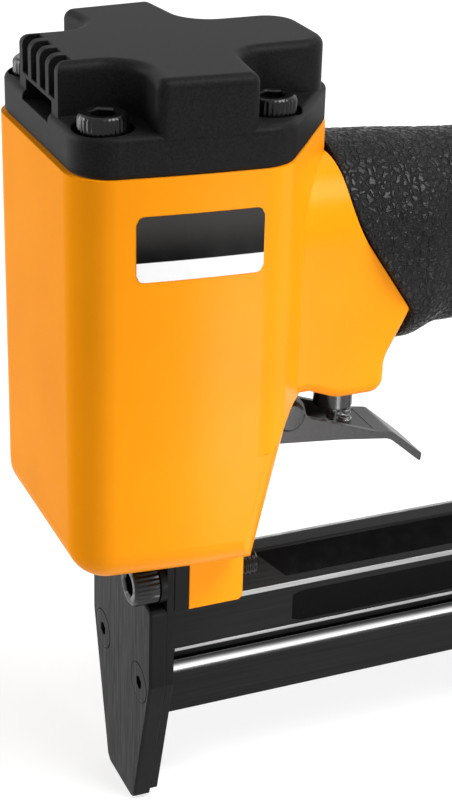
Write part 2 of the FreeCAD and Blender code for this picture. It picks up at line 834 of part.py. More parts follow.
def make_cap():
    body = new_body("exhaust_cap")
    outline = head_outline(q.cap_inset, q.cap_front_inset)
    add_layer(body, "XY", cap_base, flange_top, outline)
    round_edges(body, q.cap_inner_edge, lambda edge, middle: near(middle.z, flange_top))
    swell = (q.head_middle_half - q.head_half) / (q.head_front + q.head_middle)
    front_half = q.head_half + (q.head_front - q.cap_front) * swell - q.cap_inset
    rear_half = flank(q.cap_rear) - q.cap_inset
    spine_rear = q.head_rear - q.cap_edge
    half = [(-q.fins_front, q.fins_half), (-q.cap_front + q.cap_edge, q.fins_half, q.fin_sweep),
            (-q.cap_front, front_half, q.fin_sweep / 3), (q.cap_rear, rear_half, q.fin_sweep / 3),
            (q.cap_rear + q.cap_edge, q.spine_half, q.fin_sweep),
            (spine_rear, q.spine_half, q.fin_sweep)]
    add_layer(body, "XY", flange_top - q.cap_edge, cap_top,
              both_sides(half))
    round_edges(body, q.cap_edge, lambda edge, middle: near(middle.z, cap_top))
    groove = (q.fins_half * 2 - q.fin_thick * (FIN_GROOVES + 1)) / FIN_GROOVES
    for step in range(FIN_GROOVES):
        start = -q.fins_half + q.fin_thick + (groove + q.fin_thick) * step
        cut_layer(body, "XZ", start, start + groove,
                  [(-q.fins_front - q.overrun, cap_top - q.fin_drop),
                   (-q.fins_front + q.fin_depth / 3, cap_top - q.fin_drop),
                   (-q.fins_front + q.fin_depth, cap_top + q.overrun),
                   (-q.fins_front - q.overrun, cap_top + q.overrun)])
    cut_layer(body, "XY", cap_base, cap_base + q.valve_bore_height, Circle(0, 0, q.valve_bore_radius))
    cut_layer(body, "XY", cap_base + q.valve_bore_height, cap_top - q.cap_roof,
              Circle(0, 0, q.neck_bore_radius))
    slot_floor = cap_base + q.slot_low
    cut_layer(body, "XZ", -q.slot_half, q.slot_half,
              rectangle(-q.fins_front - q.overrun, -q.neck_bore_radius + q.seam_gap,
                        slot_floor, slot_floor + q.slot_height))
    well_floor = flange_top - q.cap_screw_sink
    for x, y in cap_screw_places():
        cut_layer(body, "XY", well_floor, cap_top + q.overrun,
                  Circle(x, y, q.large_head_radius + q.screw_well_gap))
        cut_layer(body, "XY", cap_base, well_floor, Circle(x, y, large_way))
    return keep(body, "exhaust_cap")


def make_cap_gasket():
    body = new_body("cap_gasket")
    add_layer(body, "XY", q.head_top, cap_base, head_outline(q.gasket_thick, q.cap_front_inset),
              Circle(0, 0, q.chamber_radius),
              *[Circle(x, y, large_way) for x, y in cap_screw_places()])
    return keep(body, "cap_gasket")


def make_cap_screws():
    length = flange_top - q.cap_screw_sink - q.head_top + q.cap_screw_grip
    screws = []
    for x, y in cap_screw_places():
        screw = large_screw("cap_screw", length)
        screws.append(place(screw, x, y, flange_top - q.cap_screw_sink))
    return group("cap_screws", screws)


def make_grip():
    body = new_body("grip_sleeve")
    rear = q.core_end - q.collar_length
    turn_profile(body, [(q.parting_top, q.core_radius), (rear, q.core_radius),
                        (rear, q.grip_bead_radius), (rear - q.grip_bead_length / 2, q.grip_bead_radius),
                        (rear - q.grip_bead_length, q.grip_radius),
                        (q.grip_neck, q.grip_radius, q.grip_neck_round),
                        (q.grip_lip_end, q.grip_lip_radius, q.grip_neck_round / 2),
                        (q.parting_top, q.grip_lip_radius)], axis="H", up=handle_rise)
    reach = q.grip_lip_radius + q.overrun
    top = handle_rise + reach
    cut_layer(body, "XZ", -reach, reach,
              [(q.parting_top - q.overrun, handle_rise - reach),
               (q.parting_low + q.seam_gap, handle_rise - reach)]
              + parting_line(q.seam_gap, top) + [(q.parting_top - q.overrun, top)])
    return keep(body, "grip_sleeve")


# Cylinder, piston and valves


def make_cylinder():
    body = new_body("cylinder_sleeve")
    collar_high = q.sleeve_collar_low + q.sleeve_collar_height
    collar_radius = q.chamber_radius - q.thread_gap
    ring_low = q.sleeve_collar_low + q.sleeve_collar_height / 2 - q.ring_radius - q.ring_gap
    ring_high = ring_low + (q.ring_radius + q.ring_gap) * 2
    groove_radius = collar_radius - (q.ring_radius + q.ring_gap) * 2
    turn_profile(body, [(q.sleeve_bore, sleeve_low), (q.sleeve_radius, sleeve_low),
                        (q.sleeve_radius, q.sleeve_collar_low), (collar_radius, q.sleeve_collar_low),
                        (collar_radius, ring_low), (groove_radius, ring_low),
                        (groove_radius, ring_high), (collar_radius, ring_high),
                        (collar_radius, collar_high), (q.sleeve_radius, collar_high),
                        (q.sleeve_radius, q.sleeve_top), (q.sleeve_bore, q.sleeve_top)])
    port = Circle(0, q.sleeve_port_rise, q.sleeve_port_radius)
    for plane in ("XZ", "YZ"):
        cut_layer(body, plane, -q.chamber_radius, q.chamber_radius, port)
    keep(body, "cylinder_sleeve")
    seal = ring("cylinder_oring", collar_radius - q.ring_radius - q.ring_gap, q.ring_radius)
    place(seal, z=q.sleeve_collar_low + q.sleeve_collar_height / 2)
    keep(seal, "cylinder_oring")


def driver_opening(gap):
    half = q.driver_thick / 2 + gap
    reach = q.driver_width / 2 + gap
    return rectangle(-half, half, -reach, reach)


def make_bumper():
    body = new_body("bumper")
    add_layer(body, "XY", q.chamber_floor, bumper_top, Circle(0, 0, q.sleeve_bore - q.bumper_gap),
              driver_opening(q.driver_slot_gap * 3))
    return keep(body, "bumper")


def make_driver_seal():
    body = new_body("driver_seal")
    add_layer(body, "XY", q.nose_rise, q.nose_rise + q.seal_height,
              rectangle(-q.seal_width / 2, q.seal_width / 2, -q.seal_length / 2, q.seal_length / 2),
              driver_opening(q.driver_slot_gap))
    return keep(body, "driver_seal")


def make_piston():
    body = new_body("piston")
    radius = q.sleeve_bore - q.piston_gap
    middle = piston_low + q.piston_height * 0.6
    groove_half = q.ring_radius + q.ring_gap
    turn_profile(body, [(0, piston_low), (radius, piston_low), (radius, middle - groove_half),
                        (radius - groove_half * 2, middle - groove_half),
                        (radius - groove_half * 2, middle + groove_half), (radius, middle + groove_half),
                        (radius, piston_top), (0, piston_top)])
    cut_layer(body, "XY", piston_low, piston_low + q.driver_root, driver_opening(q.thread_gap))
    pin_rise = piston_low + q.driver_root / 2
    cut_layer(body, "YZ", -radius + q.piston_height / 3, radius - q.piston_height / 3,
              Circle(0, pin_rise, q.driver_pin_radius + q.thread_gap))
    keep(body, "piston")
    seal = ring("piston_oring", radius - q.ring_radius - q.ring_gap, q.ring_radius)
    place(seal, z=middle)
    keep(seal, "piston_oring")


def make_driver():
    blade = new_body("driver_blade")
    blade_half = q.driver_thick / 2
    blade_reach = q.driver_width / 2
    pin_rise = piston_low + q.driver_root / 2
    add_layer(blade, "XY", q.stroke, piston_low + q.driver_root,
              rectangle(-blade_half, blade_half, -blade_reach, blade_reach))
    cut_layer(blade, "YZ", -q.driver_thick, q.driver_thick,
              Circle(0, pin_rise, q.driver_pin_radius + q.thread_gap))
    keep(blade, "driver_blade")
    pin = new_body("driver_pin")
    reach = q.sleeve_bore - q.piston_gap - q.piston_height / 3 - q.thread_gap
    add_layer(pin, "YZ", -reach, reach, Circle(0, pin_rise, q.driver_pin_radius))
    keep(pin, "driver_pin")


def make_head_valve():
    body = new_body("head_valve")
    low = q.sleeve_top + q.thread_gap
    wide_top = low + q.valve_wide_height
    neck_top = low + q.valve_neck_rise
    groove_half = q.ring_radius + q.ring_gap
    groove_middle = wide_top - q.valve_wide_height / 3
    groove_floor = q.valve_wide_radius - groove_half * 2
    turn_profile(body, [(0, low), (q.valve_wide_radius, low),
                        (q.valve_wide_radius, groove_middle - groove_half),
                        (groove_floor, groove_middle - groove_half),
                        (groove_floor, groove_middle + groove_half),
                        (q.valve_wide_radius, groove_middle + groove_half),
                        (q.valve_wide_radius, wide_top), (q.valve_neck_radius, wide_top),
                        (q.valve_neck_radius, neck_top), (0, neck_top)])
    cut_layer(body, "XY", neck_top - q.valve_pocket_depth, neck_top, Circle(0, 0, q.valve_pocket_radius))
    keep(body, "head_valve")
    seal = ring("head_valve_oring", q.valve_wide_radius - q.ring_radius - q.ring_gap, q.ring_radius)
    place(seal, z=groove_middle)
    keep(seal, "head_valve_oring")
    spring = new_body("head_valve_spring")
    wall = q.ring_radius * 2
    add_layer(spring, "XY", neck_top - q.valve_pocket_depth, cap_top - q.cap_roof,
              Circle(0, 0, q.valve_pocket_radius - q.seam_gap),
              Circle(0, 0, q.valve_pocket_radius - q.seam_gap - wall))
    keep(spring, "head_valve_spring")


# Nose


def nose_outline(top_half, shoulder, low, chamfer):
    """Front view of a nose plate, narrowing to the tip; its shoulders may be cut down."""
    taper = (q.nose_width - q.nose_tip_width) / 2 / q.nose_taper_rise
    foot_half = q.nose_tip_width / 2 + taper * low
    half = [(foot_half - chamfer, low), (foot_half + taper * chamfer, low + chamfer),
            (q.nose_width / 2, q.nose_taper_rise), (q.nose_width / 2, shoulder, q.leg_round)]
    if top_half is not None:
        half.append((top_half, shoulder, q.leg_round))
        half.append((top_half, q.nose_rise))
    else:
        half[-1] = (q.nose_width / 2, q.nose_rise)
    return mirrored(half)


def make_nose():
    notch_half = q.nose_screw_half - q.nose_washer_radius - q.hole_gap
    notch_rise = nose_screw_rise - q.nose_washer_radius - q.hole_gap / 2
    plate = new_body("nose_plate")
    add_layer(plate, "YZ", plate_front, half_channel,
              nose_outline(notch_half, notch_rise, ZERO, q.nose_tip_chamfer))
    round_edges(plate, q.nose_tip_chamfer / 3, lambda edge, middle: near(middle.x, plate_front), "Chamfer")
    cut_layer(plate, "YZ", -half_channel, half_channel,
              rectangle(-q.channel_width / 2, q.channel_width / 2, -q.overrun, q.nose_rise + q.overrun))
    sunk = q.sunk_head_radius - q.small_shaft_radius
    for side in SIDES:
        turn_profile(plate, [(plate_front - q.overrun, 0), (half_channel, 0), (half_channel, small_way),
                             (plate_front + sunk + q.hole_gap, small_way),
                             (plate_front, q.sunk_head_radius + q.hole_gap),
                             (plate_front - q.overrun, q.sunk_head_radius + q.hole_gap)],
                     axis="H", up=q.plate_screw_rise, back=q.plate_screw_half * side, cut=True)
    keep(plate, "nose_plate")
    guide = new_body("drive_guide")
    add_layer(guide, "YZ", half_channel, guide_rear,
              nose_outline(None, notch_rise, q.guide_tip_step, q.nose_tip_chamfer))
    cut_layer(guide, "YZ", half_channel, guide_rear,
              rectangle(-q.crown_half, q.crown_half, q.rail_foot, q.rail_roof),
              *[Circle(q.plate_screw_half * side, q.plate_screw_rise, small_hole) for side in SIDES],
              *[Circle(q.nose_screw_half * side, nose_screw_rise, large_way) for side in SIDES])
    keep(guide, "drive_guide")
    block = new_body("nose_block")
    add_layer(block, "YZ", guide_rear, leg_front,
              rectangle(-q.nose_block_half, q.nose_block_half, q.leg_low, q.nose_rise))
    cut_layer(block, "YZ", guide_rear, leg_front, magazine_saddle())
    cut_layer(block, "YZ", guide_rear, leg_front,
              *[Circle(q.nose_screw_half * side, nose_screw_rise, large_way) for side in SIDES])
    keep(block, "nose_block")


def make_nose_fasteners():
    sunk = q.sunk_head_radius - q.small_shaft_radius
    plate_screws = []
    nose_screws = []
    washers = []
    for side in SIDES:
        screw = new_body("plate_screw")
        length = guide_rear - plate_front
        turn_profile(screw, [(0, -length), (q.small_shaft_radius, -length), (q.small_shaft_radius, -sunk),
                             (q.sunk_head_radius, 0), (0, 0)])
        cut_layer(screw, "XY", -sunk, ZERO, hexagon(q.sunk_key_radius))
        plate_screws.append(place(screw, plate_front, q.plate_screw_half * side, q.plate_screw_rise,
                                  ALONG_MINUS_X))
        bolt = large_screw("nose_screw", q.nose_screw_length)
        nose_screws.append(place(bolt, washer_front, q.nose_screw_half * side, nose_screw_rise,
                                 ALONG_MINUS_X))
        disc = washer("nose_washer", q.nose_washer_radius, large_way, q.nose_washer_thick)
        washers.append(place(disc, washer_front, q.nose_screw_half * side, nose_screw_rise, ALONG_X))
    group("nose_plate_screws", plate_screws)
    group("nose_screws", nose_screws)
    group("nose_washers", washers)


# Magazine


def make_fixed_magazine():
    body = new_body("fixed_magazine")
    web = q.crown_half + q.rail_web
    half = [(q.crown_half, q.rail_foot), (web, q.rail_foot), (web, q.tee_low), (q.tee_half, q.tee_low),
            (q.tee_half, q.tee_high), (web, q.tee_high), (web, q.rail_skirt),
            (q.rail_half, q.rail_skirt), (q.rail_half, q.rail_shoulder), (q.rail_top_half, rail_top)]
    outer = list(half)
    inner_left = [(-size_of(corner[0]), corner[1]) for corner in reversed(half)]
    roof = [(-q.crown_half, q.rail_roof), (q.crown_half, q.rail_roof)]
    add_layer(body, "YZ", guide_rear, q.rail_end, outer + inner_left + roof)
    cut_layer(body, "XZ", -q.rail_half, q.rail_half,
              rectangle(q.foot_front - q.seam_gap, q.rail_end, rail_seat, rail_top))
    for x in (foot_screw_run, q.catch_front + q.catch_length / 2):
        cut_layer(body, "XY", q.rail_roof, rail_seat, Circle(x, 0, small_hole))
    return keep(body, "fixed_magazine")


def make_slide():
    channel = new_body("slide_channel")
    start = guide_rear + q.slide_front_gap
    inner = q.slide_half - q.slide_wall
    add_layer(channel, "YZ", start, end_block_rear, [
        (-q.slide_half, q.slide_low), (q.slide_half, q.slide_low), (q.slide_half, q.slide_high),
        (inner, q.slide_high), (inner, q.slide_low + q.slide_floor),
        (-inner, q.slide_low + q.slide_floor), (-inner, q.slide_high), (-q.slide_half, q.slide_high)])
    keep(channel, "slide_channel")
    liner = new_body("slide_liner")
    floor = q.slide_low + q.slide_floor
    wall = inner - q.liner_wall
    half = [(inner, floor), (inner, q.liner_high), (q.lip_reach, q.liner_high), (q.lip_reach, q.lip_low),
            (wall, q.lip_low), (wall, floor + q.liner_wall)]
    add_layer(liner, "YZ", start, q.rail_end - q.slide_front_gap, mirrored(half))
    keep(liner, "slide_liner")
    rail = new_body("staple_rail")
    rail_floor = floor + q.liner_wall
    inside = q.staple_rail_half - q.staple_rail_wall
    add_layer(rail, "YZ", start, end_block_front, mirrored([
        (q.staple_rail_half, rail_floor), (q.staple_rail_half, q.staple_rail_top),
        (q.staple_rail_slot / 2, q.staple_rail_top),
        (q.staple_rail_slot / 2, q.staple_rail_top - q.staple_rail_wall),
        (inside, q.staple_rail_top - q.staple_rail_wall), (inside, rail_floor + q.staple_rail_wall)]))
    keep(rail, "staple_rail")
    block = new_body("slide_end_block")
    add_layer(block, "XZ", -end_block_half, end_block_half,
              [(end_block_front, floor), (end_block_rear, floor),
               (end_block_rear, q.end_block_top, q.leg_round), (end_block_front, q.end_block_top)])
    ear_half = q.latch_pin_radius * 2
    add_layer(block, "XZ", -end_block_half / 2, end_block_half / 2,
              [(q.latch_pivot - ear_half, q.end_block_top - q.leg_round),
               (q.latch_pivot + ear_half, q.end_block_top - q.leg_round),
               (q.latch_pivot + ear_half, q.latch_pivot_rise + ear_half, q.latch_pin_radius),
               (q.latch_pivot - ear_half, q.latch_pivot_rise + ear_half, q.latch_pin_radius)])
    cut_layer(block, "XZ", -end_block_half, end_block_half,
              Circle(q.latch_pivot, q.latch_pivot_rise, q.latch_pin_radius + q.thread_gap))
    cut_layer(block, "YZ", end_block_front, end_block_front + q.end_block_length / 2,
              Circle(0, q.rod_rise, q.rod_radius + q.thread_gap))
    for x in (end_block_front + q.end_block_length / 4, end_block_rear - q.end_block_length / 4):
        cut_layer(block, "XY", floor, floor + q.small_head_height * 2, Circle(x, 0, small_hole))
        cut_layer(channel, "XY", q.slide_low, floor, Circle(x, 0, small_way))
    keep(block, "slide_end_block")
    screws = []
    for x in (end_block_front + q.end_block_length / 4, end_block_rear - q.end_block_length / 4):
        screw = new_body("slide_screw")
        sunk = q.slide_floor - q.thread_gap
        length = q.small_head_height * 2
        turn_profile(screw, [(0, -length), (q.small_shaft_radius, -length),
                             (q.small_shaft_radius, 0), (0, 0)])
        cut_layer(screw, "XY", -sunk, ZERO, hexagon(q.sunk_key_radius))
        screws.append(place(screw, x, 0, q.slide_low, HEAD_DOWN))
    group("slide_screws", screws)
    front_block = new_body("rod_stop")
    stop_half = inside - q.hole_gap / 2
    stop_rear = start + q.small_head_height
    add_layer(front_block, "YZ", start, stop_rear,
              rectangle(-stop_half, stop_half, rail_floor + q.staple_rail_wall,
                        q.rod_rise + q.pusher_spring_radius))
    cut_layer(front_block, "YZ", start, stop_rear, Circle(0, q.rod_rise, q.rod_radius + q.thread_gap))
    keep(front_block, "rod_stop")
    rod = new_body("pusher_rod")
    add_layer(rod, "YZ", start, end_block_front + q.end_block_length / 2 - q.hole_gap,
              Circle(0, q.rod_rise, q.rod_radius))
    keep(rod, "pusher_rod")


def make_pusher():
    body = new_body("pusher")
    start = guide_rear + q.pusher_start + q.small_head_height
    outer = q.crown_half - q.pusher_gap
    inner = q.staple_rail_half + q.pusher_gap
    top = q.rail_roof - q.pusher_gap
    saddle_low = q.staple_rail_top + q.pusher_gap
    foot = q.rail_foot + q.overrun
    tongue = q.pusher_tongue / 2
    shoe = q.pusher_spring_radius
    shoe_low = q.rod_rise - shoe
    shoe_high = q.rod_rise + shoe
    add_layer(body, "YZ", start, start + q.pusher_length, [
        (-shoe, shoe_low), (shoe, shoe_low), (shoe, shoe_high), (tongue, shoe_high),
        (tongue, saddle_low), (inner, saddle_low), (inner, foot), (outer, foot), (outer, top),
        (-outer, top), (-outer, foot), (-inner, foot), (-inner, saddle_low), (-tongue, saddle_low),
        (-tongue, shoe_high), (-shoe, shoe_high)])
    cut_layer(body, "YZ", start, start + q.pusher_length,
              Circle(0, q.rod_rise, q.rod_radius + q.pusher_gap))
    keep(body, "pusher")
    spring = new_body("pusher_spring")
    add_layer(spring, "YZ", start + q.pusher_length + q.thread_gap, end_block_front - q.thread_gap,
              Circle(0, q.rod_rise, q.pusher_spring_radius),
              Circle(0, q.rod_rise, q.rod_radius + q.seam_gap))
    keep(spring, "pusher_spring")


def make_latch():
    catch = new_body("rear_catch")
    catch_rear = q.catch_front + q.catch_length
    add_layer(catch, "XZ", -q.catch_half, q.catch_half,
              [(q.catch_front, rail_seat), (catch_rear, rail_seat),
               (catch_rear, rail_seat + q.catch_height),
               (q.catch_front + q.catch_height, rail_seat + q.catch_height),
               (q.catch_front, rail_seat + q.catch_height / 2)])
    middle = q.catch_front + q.catch_length / 2
    cut_layer(catch, "XY", rail_seat, rail_seat + q.catch_height, Circle(middle, 0, small_way))
    keep(catch, "rear_catch")
    screw = new_body("catch_screw")
    length = rail_seat + q.catch_height - q.rail_roof
    turn_profile(screw, [(0, -length), (q.small_shaft_radius, -length), (q.small_shaft_radius, 0), (0, 0)])
    place(screw, middle, 0, rail_seat + q.catch_height)
    keep(screw, "catch_screw")
    lever = new_body("latch_lever")
    top = q.latch_pivot_rise + q.latch_pin_radius * 2
    under = rail_seat + q.catch_height + q.latch_gap
    hook_low = under
    add_layer(lever, "XZ", -q.latch_half, q.latch_half,
              [(q.latch_front, hook_low), (q.latch_front + q.latch_thick, hook_low),
               (q.latch_front + q.latch_thick, top - q.latch_thick / 2),
               (q.latch_pivot - q.latch_pin_radius * 2, top - q.latch_thick / 2, q.latch_thick),
               (q.latch_pivot - q.latch_pin_radius * 2, q.latch_pivot_rise - q.latch_pin_radius * 2,
                q.latch_thick / 2),
               (q.latch_pivot + q.latch_pin_radius * 2, q.latch_pivot_rise - q.latch_pin_radius * 2,
                q.latch_thick / 2),
               (q.latch_pivot + q.latch_pin_radius * 2, top - q.latch_thick / 2, q.latch_thick),
               (q.latch_tail, top + q.latch_thick), (q.latch_tail, top + q.latch_thick * 2),
               (q.latch_pivot, top + q.latch_thick, q.overrun),
               (q.latch_front, top + q.latch_thick / 2)])
    slot = end_block_half / 2 + q.seam_gap
    cut_layer(lever, "XZ", -slot, slot,
              rectangle(q.latch_pivot - q.latch_pin_radius * 3, q.latch_pivot + q.latch_pin_radius * 3,
                        q.latch_pivot_rise - q.latch_pin_radius * 4,
                        q.latch_pivot_rise + q.latch_pin_radius * 2 + q.seam_gap * 2))
    cut_layer(lever, "XZ", -q.latch_half, q.latch_half,
              Circle(q.latch_pivot, q.latch_pivot_rise, q.latch_pin_radius + q.thread_gap))
    keep(lever, "latch_lever")
    pin = new_body("latch_pin")
    add_layer(pin, "XZ", -q.latch_half, q.latch_half,
              Circle(q.latch_pivot, q.latch_pivot_rise, q.latch_pin_radius))
    keep(pin, "latch_pin")
    spring = new_body("latch_spring")
    add_layer(spring, "XY", q.end_block_top, top - q.latch_thick / 2,
              Circle(0, 0, q.latch_spring_radius), Circle(0, 0, q.latch_spring_radius / 2))
    place(spring, end_block_rear - q.latch_spring_radius - q.latch_gap)
    keep(spring, "latch_spring")


# Rear of the tool


def make_rear():
    gasket = new_body("handle_gasket")
    add_layer(gasket, "YZ", q.core_end, arm_front, Circle(0, handle_rise, q.collar_radius),
              Circle(0, handle_rise, q.core_bore),
              *[Circle(y, z, small_way) for y, z in end_screw_places()])
    keep(gasket, "handle_gasket")
    arm = new_body("magazine_arm")
    add_layer(arm, "YZ", arm_front, end_cap_front, Circle(0, handle_rise, q.end_cap_radius))
    add_layer(arm, "XZ", -q.arm_half, q.arm_half,
              [(arm_front, handle_rise - q.core_bore), (arm_front, rail_seat + q.foot_height),
               (q.foot_front, rail_seat + q.foot_height), (q.foot_front, rail_seat),
               (q.foot_rear, rail_seat), (q.foot_rear, rail_seat + q.foot_height),
               (end_cap_front, rail_seat + q.foot_height), (end_cap_front, handle_rise - q.core_bore)])
    cut_layer(arm, "YZ", arm_front, end_cap_front, Circle(0, handle_rise, q.core_bore),
              *[Circle(y, z, small_way) for y, z in end_screw_places()])
    cut_layer(arm, "XY", rail_seat, rail_seat + q.foot_height,
              Circle(foot_screw_run, 0, small_way))
    keep(arm, "magazine_arm")
    cap = new_body("end_cap")
    hub_radius = q.inlet_radius + q.gasket_thick * 6
    turn_profile(cap, [(end_cap_front, q.inlet_radius), (end_cap_front, q.end_cap_radius),
                       (end_cap_rear, q.end_cap_radius, q.leg_round), (end_cap_rear, hub_radius),
                       (end_cap_rear + q.filter_thick, hub_radius), (end_cap_rear + q.filter_thick,
                                                                     q.inlet_radius)],
                 axis="H", up=handle_rise)
    cut_layer(cap, "YZ", end_cap_front, end_cap_front + q.filter_thick,
              Circle(0, handle_rise, q.core_bore - q.filter_thick))
    cut_layer(cap, "YZ", end_cap_front, end_cap_rear,
              *[Circle(y, z, small_way) for y, z in end_screw_places()])
    keep(cap, "end_cap")
    screws = []
    for y, z in end_screw_places():
        screw = small_screw("end_screw", q.end_screw_grip)
        screws.append(place(screw, end_cap_rear, y, z, ALONG_X))
    group("end_cap_screws", screws)
    filter_disc = new_body("inlet_filter")
    add_layer(filter_disc, "YZ", end_cap_front, end_cap_front + q.filter_thick,
              Circle(0, handle_rise, q.core_bore - q.filter_thick - q.thread_gap))
    keep(filter_disc, "inlet_filter")
    foot_screw = small_screw("foot_screw", q.foot_height + rail_seat - q.rail_roof)
    place(foot_screw, foot_screw_run, 0, rail_seat + q.foot_height)
    keep(foot_screw, "foot_screw")


def make_air_plug():
    body = new_body("air_plug")
    thread_front = end_cap_front + q.filter_thick + q.thread_gap
    seat = end_cap_rear + q.filter_thick
    hex_rear = seat + q.plug_hex
    tip = hex_rear + q.plug_length
    step = q.plug_length / 6
    turn_profile(body, [(thread_front, q.plug_bore), (thread_front, q.inlet_radius - q.thread_gap),
                        (seat, q.inlet_radius - q.thread_gap), (seat, q.plug_radius),
                        (hex_rear, q.plug_radius), (hex_rear + step, q.plug_radius),
                        (hex_rear + step * 1.5, q.plug_neck_radius),
                        (hex_rear + step * 3, q.plug_neck_radius),
                        (hex_rear + step * 3.4, q.plug_radius), (hex_rear + step * 4.4, q.plug_radius),
                        (hex_rear + step * 4.8, q.plug_tip_radius), (tip - step / 4, q.plug_tip_radius),
                        (tip, q.plug_tip_radius - step / 4), (tip, q.plug_bore)],
                 axis="H", up=handle_rise)
    corners = [(y, z + handle_rise) for y, z in hexagon(q.plug_hex_radius)]
    add_layer(body, "YZ", seat, hex_rear, corners)
    cut_layer(body, "YZ", seat, hex_rear, Circle(0, handle_rise, q.plug_bore))
    return keep(body, "air_plug")


# Trigger


def make_trigger():
    body = new_body("trigger")
    add_layer(body, "XZ", -q.trigger_half, q.trigger_half,
              [(q.trigger_front, q.trigger_front_low, q.trigger_sheet), (q.trigger_mid, q.trigger_mid_low),
               (q.trigger_bend, q.trigger_bend_low, q.trigger_sheet * 3),
               (q.trigger_tip, q.trigger_tip_low, q.trigger_sheet / 3),
               (q.trigger_tip + q.trigger_sheet * 0.8, q.trigger_tip_low + q.trigger_sheet * 0.9,
                q.trigger_sheet / 3),
               (q.trigger_bend + q.trigger_sheet / 2, q.trigger_bend_low + q.trigger_sheet * 1.1,
                q.trigger_sheet * 2),
               (q.trigger_wall_end, q.trigger_bend_low + q.trigger_sheet * 1.6, q.trigger_sheet * 3),
               (q.trigger_wall_rear + q.trigger_sheet, q.trigger_wall_low, q.trigger_sheet * 2),
               (q.trigger_wall_rear, q.trigger_wall_top, q.trigger_sheet * 2),
               (q.trigger_front, q.trigger_wall_top, q.trigger_sheet * 2)])
    reach = q.trigger_half + q.overrun
    tip_end = q.trigger_tip + q.trigger_sheet
    cut_layer(body, "XY", q.trigger_tip_low - q.overrun, q.trigger_bend_low,
              [(q.trigger_bend, -reach), (tip_end + q.overrun, -reach), (tip_end + q.overrun, reach),
               (q.trigger_bend, reach), (q.trigger_bend, q.trigger_half),
               (tip_end, q.trigger_half, q.trigger_tip_round),
               (tip_end, -q.trigger_half, q.trigger_tip_round), (q.trigger_bend, -q.trigger_half)])
    inside = q.trigger_half - q.trigger_sheet
    cut_layer(body, "XZ", -inside, inside,
              [(q.trigger_front - q.overrun, q.trigger_front_low + q.trigger_sheet * 1.4),
               (q.trigger_mid, q.trigger_mid_low + q.trigger_sheet),
               (q.trigger_wall_end, q.trigger_bend_low + q.trigger_sheet * 1.55),
               (q.trigger_wall_end, arch_top), (q.trigger_front - q.overrun, arch_top)])
    cut_layer(body, "XZ", -q.trigger_half, q.trigger_half,
              Circle(q.pivot_run, q.pivot_rise, q.pivot_radius + q.thread_gap))
    keep(body, "trigger")
    bracket = new_body("trigger_bracket")
    add_layer(bracket, "XZ", -q.bracket_half, q.bracket_half,
              [(q.waist_high + q.arch_round, arch_top),
               (q.waist_high + q.arch_round, q.pivot_rise + q.bracket_round * 2),
               (q.pivot_run - q.bracket_round, q.pivot_rise - q.bracket_round, q.bracket_round * 0.9),
               (q.pivot_run + q.bracket_round, q.pivot_rise - q.bracket_round, q.bracket_round * 0.9),
               (q.boss_front, arch_top)])
    cut_layer(bracket, "XZ", -q.bracket_half, q.bracket_half,
              Circle(q.pivot_run, q.pivot_rise, q.pivot_radius + q.thread_gap))
    keep(bracket, "trigger_bracket")
    pin = new_body("trigger_pin")
    pin_end = q.trigger_half + q.hole_gap
    turn_profile(pin, [(0, -pin_end - q.pivot_head_thick), (q.pivot_radius, -pin_end - q.pivot_head_thick),
                       (q.pivot_radius, pin_end), (q.pivot_head_radius, pin_end),
                       (q.pivot_head_radius, pin_end + q.pivot_head_thick / 2),
                       (q.pivot_head_radius - q.pivot_head_thick / 2, pin_end + q.pivot_head_thick),
                       (0, pin_end + q.pivot_head_thick)])
    place(pin, q.pivot_run, 0, q.pivot_rise, ALONG_MINUS_Y)
    keep(pin, "trigger_pin")
    clip = washer("trigger_pin_clip", q.pivot_head_radius - q.hole_gap, q.pivot_radius + q.thread_gap,
                  q.pivot_head_thick / 2)
    place(clip, q.pivot_run, pin_end + q.pivot_head_thick, q.pivot_rise, ALONG_MINUS_Y)
    keep(clip, "trigger_pin_clip")


def make_trigger_valve():
    body = new_body("trigger_valve_body")
    x = q.trigger_valve_run
    collar_low = boss_low - q.valve_collar_height
    chamber_low = boss_low + q.valve_collar_height
    chamber_high = chamber_low + q.stem_chamber_height
    top = chamber_high + q.valve_collar_height * 2
    bore = q.stem_radius + q.stem_gap
    turn_profile(body, [(bore, valve_nose_low), (q.valve_nose_radius, valve_nose_low),
                        (q.valve_nose_radius, collar_low), (q.valve_collar_radius, collar_low),
                        (q.valve_collar_radius, boss_low), (q.valve_body_radius, boss_low),
                        (q.valve_body_radius, top), (bore, top), (bore, chamber_high),
                        (q.stem_chamber_radius, chamber_high), (q.stem_chamber_radius, chamber_low),
                        (bore, chamber_low)])
    place(body, x)
    keep(body, "trigger_valve_body")
    stem = new_body("valve_stem")
    stem_low = q.trigger_mid_low + q.trigger_sheet + q.stem_clear
    collar_seat = chamber_low + q.seam_gap
    tip = q.stem_radius / 2
    turn_profile(stem, [(0, stem_low), (q.stem_radius - tip, stem_low), (q.stem_radius, stem_low + tip),
                        (q.stem_radius, collar_seat), (q.stem_collar_radius, collar_seat),
                        (q.stem_collar_radius, collar_seat + q.stem_collar_height),
                        (q.stem_radius, collar_seat + q.stem_collar_height),
                        (q.stem_radius, stem_low + q.stem_length), (0, stem_low + q.stem_length)])
    place(stem, x)
    keep(stem, "valve_stem")
    spring = new_body("valve_spring")
    add_layer(spring, "XY", collar_seat + q.stem_collar_height, chamber_high,
              Circle(0, 0, q.stem_collar_radius), Circle(0, 0, q.stem_radius + q.seam_gap))
    place(spring, x)
    keep(spring, "valve_spring")


